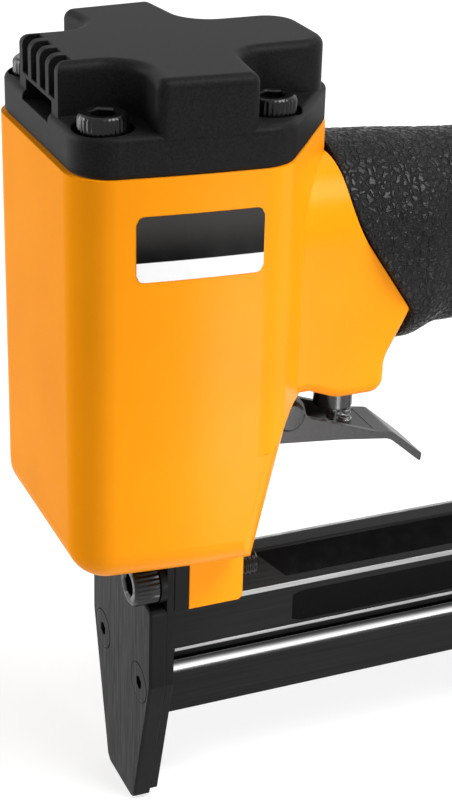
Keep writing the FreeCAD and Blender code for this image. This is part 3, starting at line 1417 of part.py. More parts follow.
def biarc(start, start_way, finish, finish_way):
    """Two arcs that leave the start and reach the finish along the given directions."""
    chord = finish - start
    both = start_way + finish_way
    a = 2 * (1 - start_way.dot(finish_way))
    b = 2 * chord.dot(both)
    c = -chord.dot(chord)
    reach = (-b + math.sqrt(b * b - 4 * a * c)) / (2 * a)
    meet = (start + start_way * reach + finish - finish_way * reach) * 0.5
    return [tangent_arc(start, start + start_way * reach, meet),
            tangent_arc(meet, finish - finish_way * reach, finish)]


def tangent_arc(start, knee, finish):
    """The arc from start to finish whose end tangents cross at the knee."""
    middle = (start + finish) * 0.5
    half_chord = (finish - start).Length / 2
    side = (knee - start).Length
    rise = (knee - middle).Length
    radius = half_chord * side / rise
    sagitta = radius * (1 - half_chord / side)
    crest = middle + (knee - middle).normalize() * sagitta
    return Part.Arc(start, crest, finish).toShape()


def coil(radius, wire, height, turns):
    """One unbroken helix of wire about Z with a straight end one wire diameter long at each end."""
    stub = wire * 2
    quarters = turns * 4
    rise = (height - wire * 2) / quarters
    slope = rise / (math.pi / 2)

    def point(step):
        angle = step * math.pi / 2
        return FreeCAD.Vector(radius * math.cos(angle), radius * math.sin(angle), wire + rise * step)

    def way(step):
        angle = step * math.pi / 2
        return FreeCAD.Vector(-radius * math.sin(angle), radius * math.cos(angle), slope).normalize()

    edges = [Part.LineSegment(point(0) - way(0) * stub, point(0)).toShape()]
    for step in range(quarters):
        edges.extend(biarc(point(step), way(step), point(step + 1), way(step + 1)))
    edges.append(Part.LineSegment(point(quarters), point(quarters) + way(quarters) * stub).toShape())
    path = Part.Wire(edges)
    start = point(0) - way(0) * stub
    section = Part.Wire(Part.Circle(start, way(0), wire).toShape())
    print("spring gap to itself", round(least_gap(path, wire, radius), 3))
    return path.makePipeShell([section], True, False)


def least_gap(path, wire, radius):
    """The least clear space between two stretches of a wound wire, measured on points of its path."""
    spots = path.discretize(Distance=wire)
    apart = math.ceil(math.pi * radius / wire)
    centres = min(spots[i].distanceToPoint(spots[j])
                  for i in range(len(spots)) for j in range(i + apart, len(spots)))
    return centres - wire * 2


def make_trigger_spring():
    x = q.trigger_spring_run
    floor = q.trigger_mid_low + q.trigger_sheet * 0.85
    disc = washer("trigger_spring_washer", q.trigger_washer_radius, q.trigger_spring_radius / 2,
                  q.trigger_washer_thick)
    place(disc, x, 0, floor)
    keep(disc, "trigger_spring_washer")
    low = floor + q.trigger_washer_thick
    spring = DOC.addObject("Part::Feature", "trigger_spring")
    spring.Shape = coil(q.trigger_spring_radius.value, q.trigger_wire_radius.value,
                        (valve_nose_low - low).value, TRIGGER_SPRING_TURNS)
    spring.Placement = FreeCAD.Placement(FreeCAD.Vector(x.value, 0, low.value), FreeCAD.Rotation())
    keep(spring, "trigger_spring")


def check_document():
    DOC.recompute()
    for thing in DOC.Objects:
        if "Invalid" in thing.State or "Error" in thing.State:
            raise RuntimeError(thing.Name + " failed: " + ", ".join(thing.State))
    for thing in SUBPARTS:
        if thing.Shape.isNull() or not thing.Shape.isValid():
            raise RuntimeError(thing.Label + " has no valid shape")


def write_parts():
    os.makedirs("parts", exist_ok=True)
    for thing in SUBPARTS:
        thing.Shape.exportStep(os.path.join("parts", thing.Label + ".step"))
        print(thing.Label, len(thing.Shape.Solids), round(thing.Shape.Volume, 1))


make_body_casting()
make_cap()
make_cap_gasket()
make_cap_screws()
make_grip()
make_cylinder()
make_bumper()
make_driver_seal()
make_piston()
make_driver()
make_head_valve()
make_nose()
make_nose_fasteners()
make_fixed_magazine()
make_slide()
make_pusher()
make_latch()
make_rear()
make_air_plug()
make_trigger()
make_trigger_valve()
make_trigger_spring()
check_document()
write_parts()
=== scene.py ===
import json
import math

import bpy
from mathutils import Matrix, Vector, noise
from mathutils.bvhtree import BVHTree


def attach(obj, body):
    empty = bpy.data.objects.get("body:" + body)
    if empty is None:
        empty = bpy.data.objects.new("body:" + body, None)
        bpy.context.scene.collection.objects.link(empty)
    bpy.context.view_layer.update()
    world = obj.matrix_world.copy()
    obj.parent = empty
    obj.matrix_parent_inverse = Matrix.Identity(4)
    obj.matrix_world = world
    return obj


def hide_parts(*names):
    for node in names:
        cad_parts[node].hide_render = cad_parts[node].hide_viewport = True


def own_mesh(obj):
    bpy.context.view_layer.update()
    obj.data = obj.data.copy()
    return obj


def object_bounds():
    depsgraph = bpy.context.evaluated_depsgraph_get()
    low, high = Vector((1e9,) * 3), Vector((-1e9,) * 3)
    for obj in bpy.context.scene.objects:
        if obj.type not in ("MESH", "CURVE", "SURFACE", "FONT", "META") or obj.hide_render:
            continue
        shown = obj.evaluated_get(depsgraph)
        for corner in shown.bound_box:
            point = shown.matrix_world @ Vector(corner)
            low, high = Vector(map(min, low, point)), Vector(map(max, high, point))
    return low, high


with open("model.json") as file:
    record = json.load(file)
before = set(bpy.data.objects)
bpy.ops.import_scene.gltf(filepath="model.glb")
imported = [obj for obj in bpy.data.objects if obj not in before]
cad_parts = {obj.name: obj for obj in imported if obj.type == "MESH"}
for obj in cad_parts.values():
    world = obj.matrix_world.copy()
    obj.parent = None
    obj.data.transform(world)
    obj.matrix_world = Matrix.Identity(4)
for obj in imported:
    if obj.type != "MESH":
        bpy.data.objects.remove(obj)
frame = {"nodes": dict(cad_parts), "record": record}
cad_low, cad_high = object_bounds()
NODES = frame["nodes"]
MM = 0.001
SIDES = ((-1, "near"), (1, "far"))
UP = (0, 0, 1)
DOWN = (0, 0, -1)
BACK = (1, 0, 0)

# Edges that turn by more degrees than this stay sharp
SHARP_FROM = 30
WIRE_SHARP_FROM = 60

# Camera, solved from the straight edges of the object
CAMERA_PLACE = Vector((-109.72, -294.96, 235.67)) * MM
CAMERA_TURN = math.radians(23.4515)
CAMERA_TILT = math.radians(25.5950)
CAMERA_ROLL = math.radians(1.5788)
CAMERA_LENS = 85.39
CAMERA_NEAR = 0.01
CAMERA_FAR = 20

# Linear colours
ORANGE = (1.0, 0.335, 0.0042)
ORANGE_DEEP = (0.93, 0.295, 0.0035)
ORANGE_SHEEN = (1.0, 0.8, 0.5)
LABEL_PALE = (0.86, 0.86, 0.86)

# The flanks of the head swell evenly about this crest, by this many radians a metre, between two
# places along the head. All places are in metres
FLANK_CREST = 0.004
FLANK_BEND = 7.0
FLANK_FRONT = -0.018
FLANK_REAR = 0.017

# The front face reflects less than the flanks, and the front corner lies between the two
FRONT_FACE = -0.0186
FRONT_CORNER = -0.012
FRONT_GLEAM = 0.008
FLANK_GLEAM = 0.13

# Most values of a noise lie between these
NOISE_LOW = 0.3
NOISE_HIGH = 0.7

# Stretch of the marks that drawing and brushing leave, and of the grain round the handle
DRAWN = (0.03, 1, 1)
DRAWN_LONG = (0.02, 1, 1)
BRUSHED_UPRIGHT = (1, 1, 0.06)
ROUND_HANDLE = (1.0, 0.8, 0.8)

# Heights of the liner's rolled edge, where its painted reflection fades to painted shade, and of the
# printed fields and their fades, in metres
LINER_PAINTED_FADE_LOW = 0.0294
LINER_PAINTED_FADE_HIGH = 0.0316
FLANK_PRINT_LOW = 0.1216
FLANK_PRINT_HIGH = 0.1296
FLANK_PRINT_DIVISION = 0.12165
RAIL_PRINT_LOW = 0.034
RAIL_PRINT_HIGH = 0.05
PRINT_BLUR = 0.00004

# Sizes and places in millimetres, as the solids have them
CAP_SCREWS = ((-12.15, 17.4), (17.9, 16.4))
CAP_SCREW_BASE = 140.6
CAP_SCREW_SHAFT = 14.6
NOSE_SCREW_HALF = 12.3
NOSE_SCREW_RISE = 53.3
NOSE_SCREW_BASE = -0.75
NOSE_SCREW_SHAFT = 20.5
SCREW_HEAD = 4.25
SCREW_HEAD_HEIGHT = 5.0
SCREW_SHAFT = 2.5
SCREW_KEY_HALF = 2.0
SCREW_KEY_DEPTH = 2.75
HEAD_OUTSIDE = 40
RAIL_HALF = 9.1
RAIL_SHOULDER = 44.9
RAIL_BEVEL_WIDTH = 7.5
RAIL_BEVEL_RISE = 4.1
RAIL_SKIRT = 34.3
RAIL_END = 184.0
LEG_REAR = 15.6
GRIP_AXIS = 111.0
GRIP_SEAM = 34.3
GRIP_KNEE = 121.0
GRIP_SEAM_SLOPE = 0.67
GRIP_LIP = 2.4
GRIP_BORE = 16.2


def link(thing):
    bpy.context.scene.collection.objects.link(thing)
    return thing


def clamp(value):
    return min(max(value, 0.0), 1.0)


def make_camera():
    back = Vector((-math.sin(CAMERA_TURN) * math.cos(CAMERA_TILT),
                   -math.cos(CAMERA_TURN) * math.cos(CAMERA_TILT), math.sin(CAMERA_TILT)))
    level_right = Vector((math.cos(CAMERA_TURN), -math.sin(CAMERA_TURN), 0))
    level_up = back.cross(level_right)
    right = level_right * math.cos(CAMERA_ROLL) + level_up * math.sin(CAMERA_ROLL)
    up = level_up * math.cos(CAMERA_ROLL) - level_right * math.sin(CAMERA_ROLL)
    data = bpy.data.cameras.new("camera")
    data.lens = CAMERA_LENS
    data.clip_start = CAMERA_NEAR
    data.clip_end = CAMERA_FAR
    camera = link(bpy.data.objects.new("camera", data))
    turn = Matrix((right, up, back)).transposed().to_4x4()
    turn.translation = CAMERA_PLACE
    camera.matrix_world = turn
    bpy.context.scene.camera = camera


# Materials


def rgba(colour):
    """A colour as its three parts, or one number for a grey, made opaque."""
    parts = colour if isinstance(colour, tuple) else (colour,) * 3
    return (*parts, 1)


def darker(colour, share):
    return tuple(part * share for part in colour)


class Finish:
    """A procedural material, built node by node. Sizes of its patterns are in metres."""

    def __init__(self, name, colour, roughness, metallic=0.0, specular=0.5):
        self.material = bpy.data.materials.new(name)
        self.material.use_nodes = True
        self.tree = self.material.node_tree
        self.shader = self.tree.nodes["Principled BSDF"]
        self.place = self.add("TexCoord").outputs["Object"]
        self.set("Base Color", rgba(colour))
        self.set("Roughness", roughness)
        self.set("Metallic", metallic)
        self.set("Specular IOR Level", specular)

    def add(self, kind, **settings):
        node = self.tree.nodes.new("ShaderNode" + kind)
        for name, value in settings.items():
            setattr(node, name, value)
        return node

    def set(self, socket, value):
        self.shader.inputs[socket].default_value = value

    def join(self, source, target):
        self.tree.links.new(source, target)

    def drive(self, socket, source):
        self.join(source, self.shader.inputs[socket])

    def stretched(self, stretch):
        node = self.add("Mapping")
        node.inputs["Scale"].default_value = stretch
        self.join(self.place, node.inputs["Vector"])
        return node.outputs["Vector"]

    def noise(self, size, detail=2.0, stretch=(1, 1, 1), rough=0.5):
        node = self.add("TexNoise")
        node.inputs["Scale"].default_value = 1 / size
        node.inputs["Detail"].default_value = detail
        node.inputs["Roughness"].default_value = rough
        self.join(self.stretched(stretch), node.inputs["Vector"])
        return node.outputs["Fac"]

    def cell_edges(self, size, source):
        """Distance from the nearest edge between random cells."""
        node = self.add("TexVoronoi", feature="DISTANCE_TO_EDGE")
        node.inputs["Scale"].default_value = 1 / size
        self.join(source, node.inputs["Vector"])
        return node.outputs["Distance"]

    def wandering(self, size, amount, stretch):
        """The stretched place, moved about a little, so that lines drawn on it aren't straight."""
        wander = self.add("TexNoise")
        wander.inputs["Scale"].default_value = 1 / size
        self.join(self.place, wander.inputs["Vector"])
        bent = self.add("MixRGB", blend_type="LINEAR_LIGHT")
        bent.inputs["Fac"].default_value = amount
        self.join(self.stretched(stretch), bent.inputs["Color1"])
        self.join(wander.outputs["Color"], bent.inputs["Color2"])
        return bent.outputs["Color"]

    def ramp(self, value, *stops):
        """Colours or greys along a value, as (position, colour)."""
        node = self.add("ValToRGB")
        elements = node.color_ramp.elements
        while len(elements) < len(stops):
            elements.new(0.5)
        for element, (position, colour) in zip(elements, stops):
            element.position = position
            element.color = rgba(colour)
        self.join(value, node.inputs["Fac"])
        return node.outputs["Color"]

    def combine(self, operation, first, second):
        """A sum, product or other result of two values or numbers."""
        node = self.add("Math", operation=operation)
        for socket, value in zip(node.inputs, (first, second)):
            if isinstance(value, (int, float)):
                socket.default_value = value
            else:
                self.join(value, socket)
        return node.outputs["Value"]

    def range(self, value, low, high, to_low=0.0, to_high=1.0):
        node = self.add("MapRange", interpolation_type="SMOOTHSTEP")
        for socket, number in zip(("From Min", "From Max", "To Min", "To Max"),
                                  (low, high, to_low, to_high)):
            node.inputs[socket].default_value = number
        self.join(value, node.inputs["Value"])
        return node.outputs["Result"]

    def axis(self, letter):
        node = self.add("SeparateXYZ")
        self.join(self.place, node.inputs["Vector"])
        return node.outputs[letter]

    def mix(self, share, first, second):
        """From a fixed colour to a driven one."""
        node = self.add("Mix", data_type="RGBA")
        self.join(share, node.inputs["Factor"])
        node.inputs["A"].default_value = rgba(first)
        self.join(second, node.inputs["B"])
        return node.outputs["Result"]

    def shade(self, pattern, dark, light, low=NOISE_LOW, high=NOISE_HIGH):
        self.drive("Base Color", self.ramp(pattern, (low, dark), (high, light)))

    def roughen(self, pattern, smooth, rough):
        self.drive("Roughness", self.range(pattern, NOISE_LOW, NOISE_HIGH, smooth, rough))

    def relief(self, height, depth, edge=0.0, swell=None):
        """Bump of this depth in metres, over a broad swell and edges that are softened by a radius."""
        below = None
        if edge:
            rounding = self.add("Bevel", samples=4)
            rounding.inputs["Radius"].default_value = edge
            below = rounding.outputs["Normal"]
        for level, distance in ((swell, 1.0), (height, depth)):
            if level is None:
                continue
            node = self.add("Bump")
            node.inputs["Distance"].default_value = distance
            self.join(level, node.inputs["Height"])
            if below:
                self.join(below, node.inputs["Normal"])
            below = node.outputs["Normal"]
        self.drive("Normal", below)


def orange_paint():
    """Enamel, cloudy and slightly grained. Its flanks swell, and its front face hardly gleams."""
    finish = Finish("orange_paint", ORANGE, roughness=0.3, specular=FLANK_GLEAM)
    finish.set("Specular Tint", rgba(ORANGE_SHEEN))
    finish.shade(finish.noise(size=0.03), dark=ORANGE, light=ORANGE_DEEP, high=0.75)
    finish.roughen(finish.noise(size=0.004, detail=4), smooth=0.29, rough=0.33)
    along = finish.axis("X")
    run = finish.combine("MINIMUM", finish.combine("MAXIMUM", along, FLANK_FRONT), FLANK_REAR)
    off_crest = finish.combine("SUBTRACT", run, FLANK_CREST)
    square = finish.combine("MULTIPLY", off_crest, off_crest)
    swell = finish.combine("MULTIPLY", square, -FLANK_BEND / 2)
    finish.relief(finish.noise(size=0.0007), depth=0.00001, edge=0.0004, swell=swell)
    gleam = finish.range(along, FRONT_FACE, FRONT_CORNER, to_low=FRONT_GLEAM, to_high=FLANK_GLEAM)
    finish.drive("Specular IOR Level", gleam)
    return finish.material


def black_cast():
    """Fine-grained matt coating on a casting."""
    finish = Finish("black_cast", 0.006, roughness=0.5, specular=0.07)
    grain = finish.noise(size=0.0004, detail=3, rough=0.7)
    finish.shade(grain, dark=(0.0042, 0.0042, 0.00432), light=0.012, low=0.35, high=0.72)
    finish.relief(grain, depth=0.00004, edge=0.0004)
    return finish.material


def black_anodised():
    """Drawn profile with fine lines along it."""
    finish = Finish("black_anodised", 0.008, roughness=0.4, specular=0.1)
    lines = finish.noise(size=0.0006, detail=3, stretch=DRAWN_LONG)
    finish.shade(lines, dark=0.006, light=0.011)
    finish.roughen(lines, smooth=0.34, rough=0.46)
    finish.relief(lines, depth=0.000006, edge=0.00025)
    return finish.material


def black_steel(name, grey, roughness, specular):
    """Blackened steel with cloudy oxide and faint upright brush marks."""
    brush_share = 0.35
    finish = Finish(name, grey, roughness, specular=specular)
    brushed = finish.noise(size=0.0005, detail=4, stretch=BRUSHED_UPRIGHT)
    clouds = finish.noise(size=0.012)
    mottle = finish.combine("ADD", finish.combine("MULTIPLY", brushed, brush_share),
                            finish.combine("MULTIPLY", clouds, 1 - brush_share))
    finish.shade(mottle, dark=grey * 0.7, light=grey * 1.4)
    finish.roughen(brushed, smooth=roughness * 0.85, rough=roughness * 1.2)
    finish.relief(brushed, depth=0.000012, edge=0.0003)
    return finish.material


def label_film(name, foot, head, low, high, division=None):
    """Printed film: one colour fading into another with height, and a pale field under a division."""
    finish = Finish(name, foot, roughness=0.22, specular=0.04)
    height = finish.axis("Z")
    colour = finish.ramp(finish.range(height, low, high), (0.0, foot), (1.0, head))
    if division is not None:
        above = finish.range(height, division - PRINT_BLUR, division + PRINT_BLUR)
        colour = finish.mix(above, LABEL_PALE, colour)
    finish.drive("Base Color", colour)
    mottle = finish.noise(size=0.003, detail=3)
    finish.roughen(mottle, smooth=0.18, rough=0.28)
    finish.relief(mottle, depth=0.000004)
    return finish.material


def metal(name, colour, roughness, stretch=(1, 1, 1)):
    """Bare metal with fine marks along the direction that it was worked in."""
    finish = Finish(name, colour, roughness, metallic=1.0)
    marks = finish.noise(size=0.0005, detail=3, stretch=stretch)
    finish.shade(marks, dark=darker(colour, 0.82), light=colour)
    finish.roughen(marks, smooth=roughness * 0.8, rough=roughness * 1.25)
    finish.relief(marks, depth=0.000004, edge=0.0002)
    return finish.material


def liner_painted_reflection_and_shade():
    """Polished metal with a painted reflection and painted shade: bright at its foot, fading to nearly
    black at its rolled upper edge.
    """
    finish = Finish("liner_painted_reflection_and_shade", 0.8, roughness=0.25, metallic=1.0)
    height = finish.range(finish.axis("Z"), LINER_PAINTED_FADE_LOW, LINER_PAINTED_FADE_HIGH)
    marks = finish.noise(size=0.0005, detail=3, stretch=DRAWN_LONG)
    # Base colour by height: a painted reflection at the foot that fades to a painted shade at the rolled
    # top
    finish.drive("Base Color", finish.ramp(height, (0.0, 0.95), (0.35, 0.75), (0.8, 0.16), (1.0, 0.03)))
    finish.roughen(marks, smooth=0.2, rough=0.32)
    finish.relief(marks, depth=0.000004, edge=0.0002)
    return finish.material


def soft_plain(name, colour, roughness):
    """Rubber, plastic or fibre with a faint mottle and grain."""
    finish = Finish(name, colour, roughness, specular=0.35)
    mottle = finish.noise(size=0.0008, detail=3)
    finish.shade(mottle, dark=darker(colour, 0.75), light=colour)
    finish.relief(mottle, depth=0.00001, edge=0.0002)
    return finish.material


def grip_rubber():
    """Rubber moulded with a leather grain: wrinkled cells, drawn round the handle."""
    finish = Finish("grip_rubber", 0.0025, roughness=0.34, specular=0.2)
    bent = finish.wandering(size=0.0016, amount=0.0009, stretch=ROUND_HANDLE)
    creases = finish.range(finish.cell_edges(size=0.0013, source=bent), low=0.0, high=0.22)
    fine = finish.noise(size=0.0005, detail=3)
    height = finish.combine("ADD", creases, finish.combine("MULTIPLY", fine, 0.6))
    finish.drive("Roughness", finish.range(creases, low=0.0, high=1.0, to_low=0.64, to_high=0.33))
    finish.relief(height, depth=0.00022)
    return finish.material


MATERIALS = {
    "orange_paint": orange_paint(),
    "black_cast": black_cast(),
    "black_anodised": black_anodised(),
    "grip_rubber": grip_rubber(),
    "seal_rubber": soft_plain("seal_rubber", (0.02, 0.02, 0.02), roughness=0.5),
    "bumper_rubber": soft_plain("bumper_rubber", (0.35, 0.20, 0.06), roughness=0.4),
    "black_steel": black_steel("black_steel", grey=0.006, roughness=0.42, specular=0.08),
    "bright_steel": metal("bright_steel", (0.78, 0.78, 0.79), roughness=0.22, stretch=DRAWN),
    "spring_steel": metal("spring_steel", (0.30, 0.30, 0.31), roughness=0.35),
    "alloy": metal("alloy", (0.68, 0.68, 0.70), roughness=0.35),
    "brass": metal("brass", (0.62, 0.44, 0.17), roughness=0.4),
    "gasket": soft_plain("gasket", (0.03, 0.028, 0.025), roughness=0.8),
    "valve_plastic": soft_plain("valve_plastic", (0.72, 0.72, 0.68), roughness=0.4),
}
NODE_FINISHES = {
    "trigger": soft_plain("trigger_satin", (0.045, 0.045, 0.046), roughness=0.34),
    "slide_liner": liner_painted_reflection_and_shade(),
    "trigger_bracket": black_steel("bracket_gloss", grey=0.012, roughness=0.2, specular=0.5),
    "trigger_pin": black_steel("pin_gloss", grey=0.012, roughness=0.2, specular=0.5),
    "trigger_valve_body": black_steel("valve_gloss", grey=0.014, roughness=0.22, specular=0.5),
}
SCREW_GLOSS = black_steel("screw_gloss", grey=0.003, roughness=0.2, specular=0.3)
BRIGHT_LINE = metal("bright_line", (0.33, 0.33, 0.33), roughness=0.35, stretch=DRAWN)
FLANK_LABEL = label_film("flank_label", foot=0.002, head=(0.045, 0.042, 0.04), low=FLANK_PRINT_LOW,
                         high=FLANK_PRINT_HIGH, division=FLANK_PRINT_DIVISION)
RAIL_LABEL = label_film("rail_label", foot=0.0015, head=0.004, low=RAIL_PRINT_LOW, high=RAIL_PRINT_HIGH)


def dress_solids():
    """Every node gets the finish of its slot, and soft shading over blunt edges."""
    for row in frame["record"]["subparts"]:
        piece = NODES[row["node"]]
        piece.data.materials.clear()
        finish = NODE_FINISHES.get(row["node"], MATERIALS[row["material_slot"]])
        piece.data.materials.append(finish)
        piece.data.shade_smooth()
        piece.data.set_sharp_from_angle(angle=math.radians(SHARP_FROM))


# Pieces in mesh code


def make_piece(name, points, faces, material, body="tool_frame", sharp=SHARP_FROM):
    """A mesh from points in millimetres."""
    data = bpy.data.meshes.new(name)
    data.from_pydata([Vector(point) * MM for point in points], [], faces)
    data.validate()
    data.materials.append(material)
    data.shade_smooth()
    data.set_sharp_from_angle(angle=math.radians(sharp))
    piece = link(bpy.data.objects.new(name, data))
    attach(piece, body)
    return piece


# Screws, in millimetres and shares
RING_STEPS = 120
KNURLS = 30
KNURL_DEPTH = 0.22
THREAD_PITCH = 0.8
THREAD_DEPTH = 0.35
THREAD_LENGTH = 8.0
THREAD_RINGS = 8
SCREW_TIP = 0.5
SCREW_TIP_DRAW_SHARE = 1.4
SCREW_EDGE = 0.45
FOOT_RISE_SHARE = 0.5
RIM_FALL_SHARES = (1.6, 0.5)
RIM_DRAW_SHARES = (0.7, 1.4)
KEY_RIM_SHARE = 1.2
KEY_FALL_SHARE = 0.5


def zigzag(phase):
    """Runs from 0 to 1 and back while the phase grows by one."""
    return 1 - abs(phase % 1 * 2 - 1)


def screw_rings(shaft):
    """Rings of a socket screw from the foot of its shaft to the bottom of its socket, head upwards.

    Each ring is a height and a radius that depends on the angle.
    """
    def plain(radius):
        return lambda angle: radius

    def knurled(radius):
        return lambda angle: radius - KNURL_DEPTH * zigzag(angle / math.tau * KNURLS)

    def threaded(height, radius):
        return lambda angle: radius - THREAD_DEPTH * zigzag(height / THREAD_PITCH - angle / math.tau)

    def hexagonal(half):
        return lambda angle: half / math.cos((angle + math.pi / 6) % (math.pi / 3) - math.pi / 6)

    rings = [(-shaft, plain(SCREW_SHAFT - SCREW_TIP * SCREW_TIP_DRAW_SHARE))]
    height = -shaft + SCREW_TIP
    step = THREAD_PITCH / THREAD_RINGS
    while height < -shaft + THREAD_LENGTH:
        rings.append((height, threaded(height, SCREW_SHAFT)))
        height += step
    rings += [(height + step, plain(SCREW_SHAFT)), (0, plain(SCREW_SHAFT))]
    top = SCREW_HEAD_HEIGHT
    rings += [(0, plain(SCREW_HEAD - KNURL_DEPTH * 2)),
              (SCREW_EDGE * FOOT_RISE_SHARE, knurled(SCREW_HEAD)),
              (top - SCREW_EDGE * RIM_FALL_SHARES[0], knurled(SCREW_HEAD)),
              (top - SCREW_EDGE * RIM_FALL_SHARES[1], plain(SCREW_HEAD - SCREW_EDGE * RIM_DRAW_SHARES[0])),
              (top, plain(SCREW_HEAD - SCREW_EDGE * RIM_DRAW_SHARES[1])),
              (top, plain(SCREW_KEY_HALF + SCREW_EDGE * KEY_RIM_SHARE)),
              (top - SCREW_EDGE * KEY_FALL_SHARE, hexagonal(SCREW_KEY_HALF)),
              (top - SCREW_KEY_DEPTH, hexagonal(SCREW_KEY_HALF))]
    return rings


def screw_mesh(rings, place, turn, points, faces):
    """Adds one screw's closed shell to a list of points and faces."""
    first = len(points)
    for height, radius in rings:
        for step in range(RING_STEPS):
            angle = math.tau * step / RING_STEPS
            reach = radius(angle)
            points.append(place + turn @ Vector((reach * math.cos(angle), reach * math.sin(angle), height)))
    for row in range(len(rings) - 1):
        for step in range(RING_STEPS):
            here = first + row * RING_STEPS + step
            beside = first + row * RING_STEPS + (step + 1) % RING_STEPS
            faces.append((here, beside, beside + RING_STEPS, here + RING_STEPS))
    last = first + (len(rings) - 1) * RING_STEPS
    faces.append(tuple(first + step for step in reversed(range(RING_STEPS))))
    faces.append(tuple(last + step for step in range(RING_STEPS)))


def make_screws():
    upright = Matrix.Identity(3)
    forward = Matrix.Rotation(math.radians(-90), 3, "Y")
    cap_places = [Vector((x, y * side, CAP_SCREW_BASE)) for x, y in CAP_SCREWS for side in (-1, 1)]
    nose_places = [Vector((NOSE_SCREW_BASE, NOSE_SCREW_HALF * side, NOSE_SCREW_RISE)) for side in (-1, 1)]
    for node, places, turn, shaft in (("cap_screws", cap_places, upright, CAP_SCREW_SHAFT),
                                      ("nose_screws", nose_places, forward, NOSE_SCREW_SHAFT)):
        points, faces = [], []
        for place in places:
            screw_mesh(screw_rings(shaft), place, turn, points, faces)
        piece = make_piece("knurled_" + node, points, faces, SCREW_GLOSS)
        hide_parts(node)


COIL_STEPS = 18
WIRE_SIDES = 6
FLAT_TURN_SHARE = 0.8


def coil_mesh(start, direction, length, outer, wire, turns):
    """Points and faces of a wire coil whose first and last turns lie nearly flat."""
    along = Vector(direction)
    across = Vector((0, 1, 0))
    beside = along.cross(across)
    radius = outer - wire
    steps = turns * COIL_STEPS
    flat = COIL_STEPS * FLAT_TURN_SHARE
    points, faces = [], []
    for step in range(steps + 1):
        angle = math.tau * step / COIL_STEPS
        rise = clamp((step - flat) / (steps - flat * 2))
        outward = across * math.cos(angle) + beside * math.sin(angle)
        centre = Vector(start) + along * (wire + (length - wire * 2) * rise) + outward * radius
        for side in range(WIRE_SIDES):
            turn = math.tau * side / WIRE_SIDES
            points.append(centre + (outward * math.cos(turn) + along * math.sin(turn)) * wire)
    for step in range(steps):
        for side in range(WIRE_SIDES):
            here = step * WIRE_SIDES + side
            beyond = step * WIRE_SIDES + (side + 1) % WIRE_SIDES
            faces.append((here, beyond, beyond + WIRE_SIDES, here + WIRE_SIDES))
    faces.append(tuple(reversed(range(WIRE_SIDES))))
    faces.append(tuple(range(steps * WIRE_SIDES, (steps + 1) * WIRE_SIDES)))
    return points, faces


def make_spring(node, body, start, direction, length, outer, wire, turns):
    """A coil from its free end to its fixed end.

    The start and the sizes are in millimetres. Outer and wire are radii.
    """
    points, faces = coil_mesh(start, direction, length, outer, wire, turns)
    coil = make_piece("coil_" + node, points, faces, MATERIALS["spring_steel"], body,
                      WIRE_SHARP_FROM)
    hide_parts(node)
    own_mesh(coil)


def make_springs():
    make_spring("trigger_spring", "tool_frame", start=(43.3, 0, 73.9), direction=UP,
                length=3.8, outer=1.35, wire=0.2, turns=5)
    make_spring("valve_spring", "tool_frame", start=(40.6, 0, 89.95), direction=UP,
                length=6.1, outer=2.95, wire=0.35, turns=6)
    make_spring("head_valve_spring", "tool_frame", start=(0, 0, 139.9), direction=UP,
                length=9.0, outer=7.6, wire=0.6, turns=5)
    make_spring("latch_spring", "magazine_slide", start=(194.4, 0, 48.6), direction=DOWN,
                length=6.1, outer=1.75, wire=0.25, turns=6)
    make_spring("pusher_spring", "magazine_slide", start=(31.4, 0, 34.5), direction=BACK,
                length=153.0, outer=3.1, wire=0.35, turns=46)


def make_panel(name, spot, columns, rows, thick, material):
    """A thin plate on a surface: spot(u, v) gives its place and the direction that it faces."""
    points, faces = [], []
    for lift in (0.0, thick):
        for column in range(columns + 1):
            for row in range(rows + 1):
                place, facing = spot(column / columns, row / rows)
                points.append(place + facing * lift)
    sheet = (columns + 1) * (rows + 1)
    for column in range(columns):
        for row in range(rows):
            here = column * (rows + 1) + row
            quad = (here, here + rows + 1, here + rows + 2, here + 1)
            faces.append(tuple(sheet + corner for corner in quad))
            faces.append(tuple(reversed(quad)))
    rim = [column * (rows + 1) for column in range(columns + 1)]
    rim += [columns * (rows + 1) + row for row in range(1, rows + 1)]
    rim += [column * (rows + 1) + rows for column in reversed(range(columns))]
    rim += list(reversed(range(1, rows)))
    for here, beside in zip(rim, rim[1:] + rim[:1]):
        faces.append((here, beside, sheet + beside, sheet + here))
    make_piece(name, points, faces, material)


def rounded_inset(share, length, radius):
    """How far a rounded corner draws in the edge at a share of the panel's length."""
    reach = radius - min(share * length, (1 - share) * length, radius)
    return radius - math.sqrt(radius * radius - reach * reach)


def surface_of(node):
    data = NODES[node].data
    return BVHTree.FromPolygons([corner.co for corner in data.vertices],
                                [face.vertices for face in data.polygons])


# Label on the head's side, in millimetres
LABEL_FRONT = -8.9
LABEL_BACK = 13.0
LABEL_LOW = 118.2
LABEL_HIGH = 129.6
LABEL_CORNER = 1.3
LABEL_THICK = 0.12


def make_flank_labels():
    """Bare two-tone labels on both sides of the head, which follow its curve."""
    casting = surface_of("body_casting")
    run = LABEL_BACK - LABEL_FRONT
    for side, name in SIDES:
        def spot(u, v):
            inset = rounded_inset(u, run, LABEL_CORNER)
            x = LABEL_FRONT + run * u
            z = LABEL_LOW + inset + (LABEL_HIGH - LABEL_LOW - inset * 2) * v
            start = Vector((x, side * HEAD_OUTSIDE, z)) * MM
            hit, normal = casting.ray_cast(start, Vector((0, -side, 0)))[:2]
            facing = Vector((normal.x, normal.y, 0)).normalized()
            return hit / MM, facing * math.copysign(1, facing.y * side)
        make_panel("flank_label_" + name, spot, columns=44, rows=12, thick=LABEL_THICK,
                   material=FLANK_LABEL)


